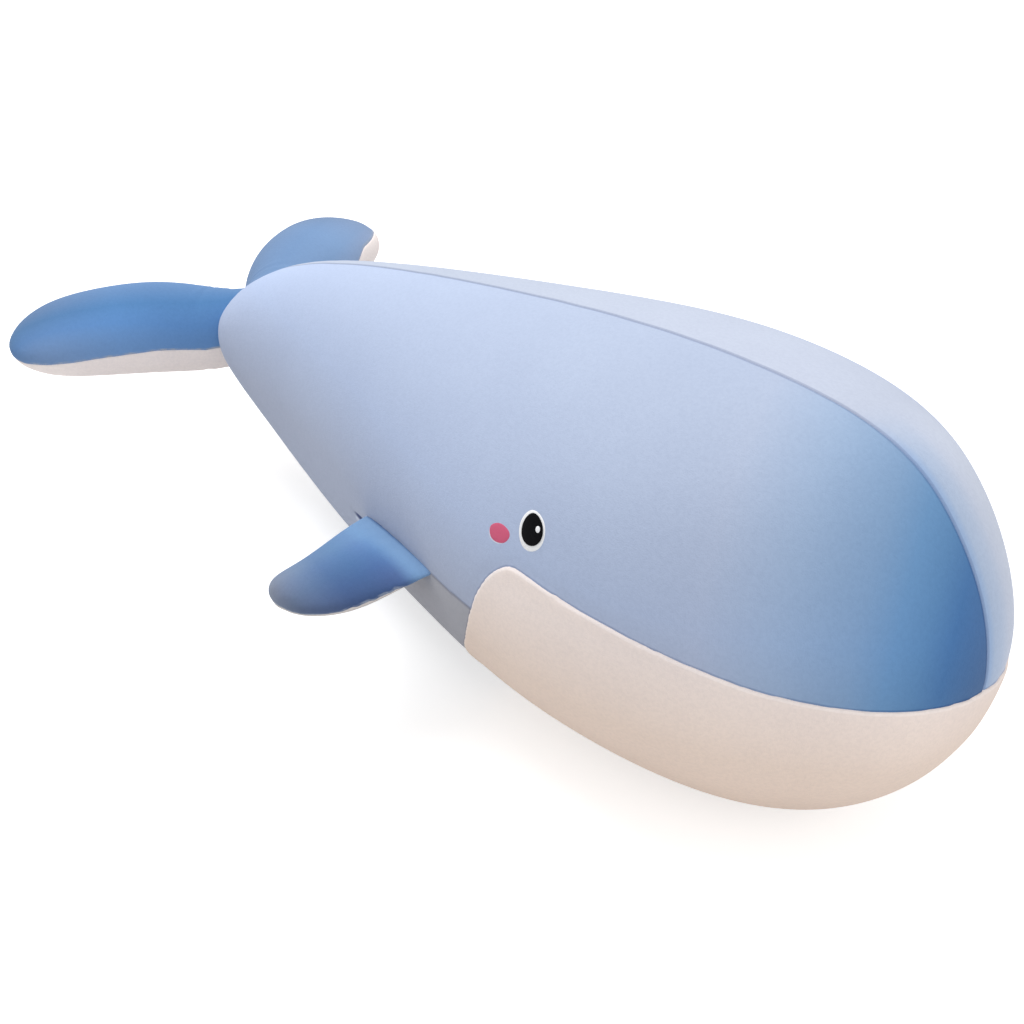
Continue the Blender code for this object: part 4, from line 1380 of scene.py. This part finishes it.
def egg(width, height, shift=(0.0, 0.0), narrowing=0.0, point=0.0, uneven=0.0):
    """An outline like an egg, with an optional pointed top and an uneven edge."""
    def shape(angle, share):
        x, y = math.cos(angle), math.sin(angle)
        peak = point * max(0.0, y) ** 6
        wobble = 1 + uneven * math.sin(3 * angle + 0.8) + uneven * 0.6 * math.sin(5 * angle)
        side = width * x * (1 - narrowing * y) * wobble
        up = height * y * (1 + peak) * wobble
        return shift[0] + share * side, shift[1] + share * up
    return shape


Stitch = namedtuple("Stitch", "name ending shape dome lift colour gloss slot nodes")


def embroider(stitches, centre, lean, surface):
    """Sew patches over each other on both sides of the face."""
    for word, side in SIDES:
        lay = patch_frame(centre, lean, side, surface)
        across, along, out, origin = lay
        turned = across.cross(along).dot(out) < 0
        turn = Matrix((across, along, out)).transposed().to_euler()
        for stitch in stitches:
            name = stitch.name + word
            pad = stitched_patch(
                name + stitch.ending, lay, surface, stitch.shape, stitch.dome, stitch.lift, turned)
            finish = thread(name + "_thread", tuple(stitch.colour), turn, origin, stitch.gloss)
            dress(pad, finish, "body", stitch.slot, tuple(start + word for start in stitch.nodes))


def make_eyes(face, surface):
    """Embroider both eyes: white egg, black pupil and white glint."""
    height = face.stitch_height
    white = egg(face.eye_width, face.eye_height, narrowing=0.10, uneven=0.012)
    pupil = egg(*PUPIL)
    glint = egg(*GLINT)
    embroider((
        Stitch("eye_white_", "_stitch", white, height, -PATCH_SINK,
               face.white, THREAD_GLOSS, "white_thread", ("eye_white_",)),
        Stitch("eye_pupil_", "_stitch", pupil, height * 0.9, height * 0.62,
               face.black, BLACK_GLOSS, "black_thread", ("eye_pupil_",)),
        Stitch("eye_glint_", "_stitch", glint, height * 0.6, height * 1.45,
               face.white, THREAD_GLOSS, "white_thread", ("eye_glint_",)),
    ), EYE_CENTRE, EYE_LEAN, surface)


def make_cheeks(face, surface):
    """Embroider both cheeks, each over a light backing that shows as a thin crescent."""
    cheek = egg(*CHEEK)
    backing = egg(*CHEEK_BACKING)
    embroider((
        Stitch("cheek_", "_stitch", cheek, face.stitch_height * 0.8, -PATCH_SINK,
               face.pink, THREAD_GLOSS, "pink_thread", ("cheek_",)),
        Stitch("cheek_backing_", "", backing, face.stitch_height * 0.5, -BACKING_SINK,
               BACKING, THREAD_GLOSS, "white_thread", ()),
    ), CHEEK_CENTRE, CHEEK_LEAN, surface)


# Stage

def look_from(thing, place, target):
    """Put a camera or lamp in its place and turn it to a point."""
    thing.location = place
    thing.rotation_euler = (Vector(target) - Vector(place)).to_track_quat("-Z", "Y").to_euler()


def area_lamp(name, power, place):
    """A square soft lamp that shines on the whale."""
    lamp = bpy.data.lights.new(name, "AREA")
    lamp.energy = power
    lamp.shape = "SQUARE"
    lamp.size = LAMP_SIZE
    look_from(add_object(name, lamp), place, LAMP_TARGET)


def make_stage(stage):
    """Camera, lamps, sky and a pale floor."""
    scene = bpy.context.scene
    camera = add_object("camera", bpy.data.cameras.new("camera"))
    camera.data.lens = stage.lens
    camera.data.sensor_width = SENSOR_WIDTH
    look_from(camera, CAMERA_PLACE, CAMERA_TARGET)
    scene.camera = camera
    area_lamp("key_lamp", stage.key_power, KEY_PLACE)
    area_lamp("fill_lamp", stage.fill_power, FILL_PLACE)
    world = bpy.data.worlds.new("sky")
    scene.world = world
    world.use_nodes = True
    tree = world.node_tree
    sky = set_up(tree, tree.nodes["Background"], Color=WHITE, Strength=stage.sky)
    bright = node(tree, "ShaderNodeBackground", Color=WHITE, Strength=1.0)
    set_up(tree, tree.nodes["World Output"], Surface=brighter_when_seen(tree, sky, bright))
    select_only(None)
    bpy.ops.mesh.primitive_plane_add(size=FLOOR_SIZE, location=(0, 0, -FLOOR_DEPTH))
    floor = bpy.context.object
    floor.name = "floor"
    floor.data.materials.append(floor_material())
    scene.view_settings.view_transform = "Standard"


def brighter_when_seen(tree, lit, seen):
    """One shader for the light, and another for rays from the camera or from a gloss or glass."""
    path = node(tree, "ShaderNodeLightPath")
    direct = path.outputs["Is Camera Ray"]
    for name in ("Is Glossy Ray", "Is Transmission Ray"):
        direct = node(tree, "ShaderNodeMath", direct, path.outputs[name], operation="MAXIMUM").outputs[0]
    return node(tree, "ShaderNodeMixShader", direct, lit.outputs[0], seen.outputs[0]).outputs[0]


def floor_material():
    """White paper that keeps the shadow, and looks even white where it is lit."""
    material, tree = new_material("paper_floor")
    paper = set_up(
        tree, tree.nodes["Principled BSDF"], Base_Color=FLOOR_WHITE, Roughness=0.9, Specular_IOR_Level=0.0)
    glow = node(tree, "ShaderNodeEmission", Color=WHITE, Strength=FLOOR_GLOW)
    bright = node(tree, "ShaderNodeAddShader", paper.outputs[0], glow.outputs[0])
    set_up(tree, tree.nodes["Material Output"], Surface=brighter_when_seen(tree, paper, bright))
    return material


# Operators and panel

SURFACE = {}


class WHALE_OT_stage(bpy.types.Operator):
    """Set up the camera, the lamps and the floor"""

    bl_idname = "whale.stage"
    bl_label = "Stage"

    def execute(self, context):
        make_stage(context.scene.whale_stage)
        return {"FINISHED"}


class WHALE_OT_body(bpy.types.Operator):
    """Sew and stuff the four velvet panels of the body"""

    bl_idname = "whale.body"
    bl_label = "Body panels"

    def execute(self, context):
        SURFACE["body"] = make_body(context.scene.whale_cloth)
        return {"FINISHED"}


class WHALE_OT_fins(bpy.types.Operator):
    """Sew and stuff the two fins"""

    bl_idname = "whale.fins"
    bl_label = "Fins"

    def execute(self, context):
        make_fins(context.scene.whale_cloth)
        return {"FINISHED"}


class WHALE_OT_tail(bpy.types.Operator):
    """Sew and stuff the tail flukes"""

    bl_idname = "whale.tail"
    bl_label = "Tail flukes"

    def execute(self, context):
        make_tail(context.scene.whale_cloth)
        return {"FINISHED"}


class WHALE_OT_eyes(bpy.types.Operator):
    """Embroider the eyes on the body"""

    bl_idname = "whale.eyes"
    bl_label = "Eyes"

    def execute(self, context):
        make_eyes(context.scene.whale_face, SURFACE["body"])
        return {"FINISHED"}


class WHALE_OT_cheeks(bpy.types.Operator):
    """Embroider the cheeks on the body"""

    bl_idname = "whale.cheeks"
    bl_label = "Cheeks"

    def execute(self, context):
        make_cheeks(context.scene.whale_face, SURFACE["body"])
        return {"FINISHED"}


class WHALE_PT_panel(bpy.types.Panel):
    """Lists the whale's pieces in the order they are made"""

    bl_idname = "WHALE_PT_panel"
    bl_label = "Plush whale"
    bl_space_type = "VIEW_3D"
    bl_region_type = "UI"
    bl_category = "Whale"

    def draw(self, context):
        for operator in OPERATORS:
            self.layout.operator(operator.bl_idname)
        for group in (context.scene.whale_cloth, context.scene.whale_face, context.scene.whale_stage):
            box = self.layout.box()
            for name in group.__annotations__:
                box.prop(group, name)


OPERATORS = (WHALE_OT_stage, WHALE_OT_body, WHALE_OT_fins, WHALE_OT_tail, WHALE_OT_eyes, WHALE_OT_cheeks)
CLASSES = (WhaleCloth, WhaleFace, WhaleStage, *OPERATORS, WHALE_PT_panel)


def register():
    """Make the settings, operators and panel known to Blender."""
    for item in CLASSES:
        bpy.utils.register_class(item)
    bpy.types.Scene.whale_cloth = bpy.props.PointerProperty(type=WhaleCloth)
    bpy.types.Scene.whale_face = bpy.props.PointerProperty(type=WhaleFace)
    bpy.types.Scene.whale_stage = bpy.props.PointerProperty(type=WhaleStage)


def unregister():
    """Take them away again."""
    del bpy.types.Scene.whale_stage, bpy.types.Scene.whale_face, bpy.types.Scene.whale_cloth
    for item in reversed(CLASSES):
        bpy.utils.unregister_class(item)


def main():
    """Build the whale."""
    register()
    bpy.ops.whale.stage()
    bpy.ops.whale.body()
    bpy.ops.whale.fins()
    bpy.ops.whale.tail()
    bpy.ops.whale.eyes()
    bpy.ops.whale.cheeks()


if __name__ == "__main__":
    main()
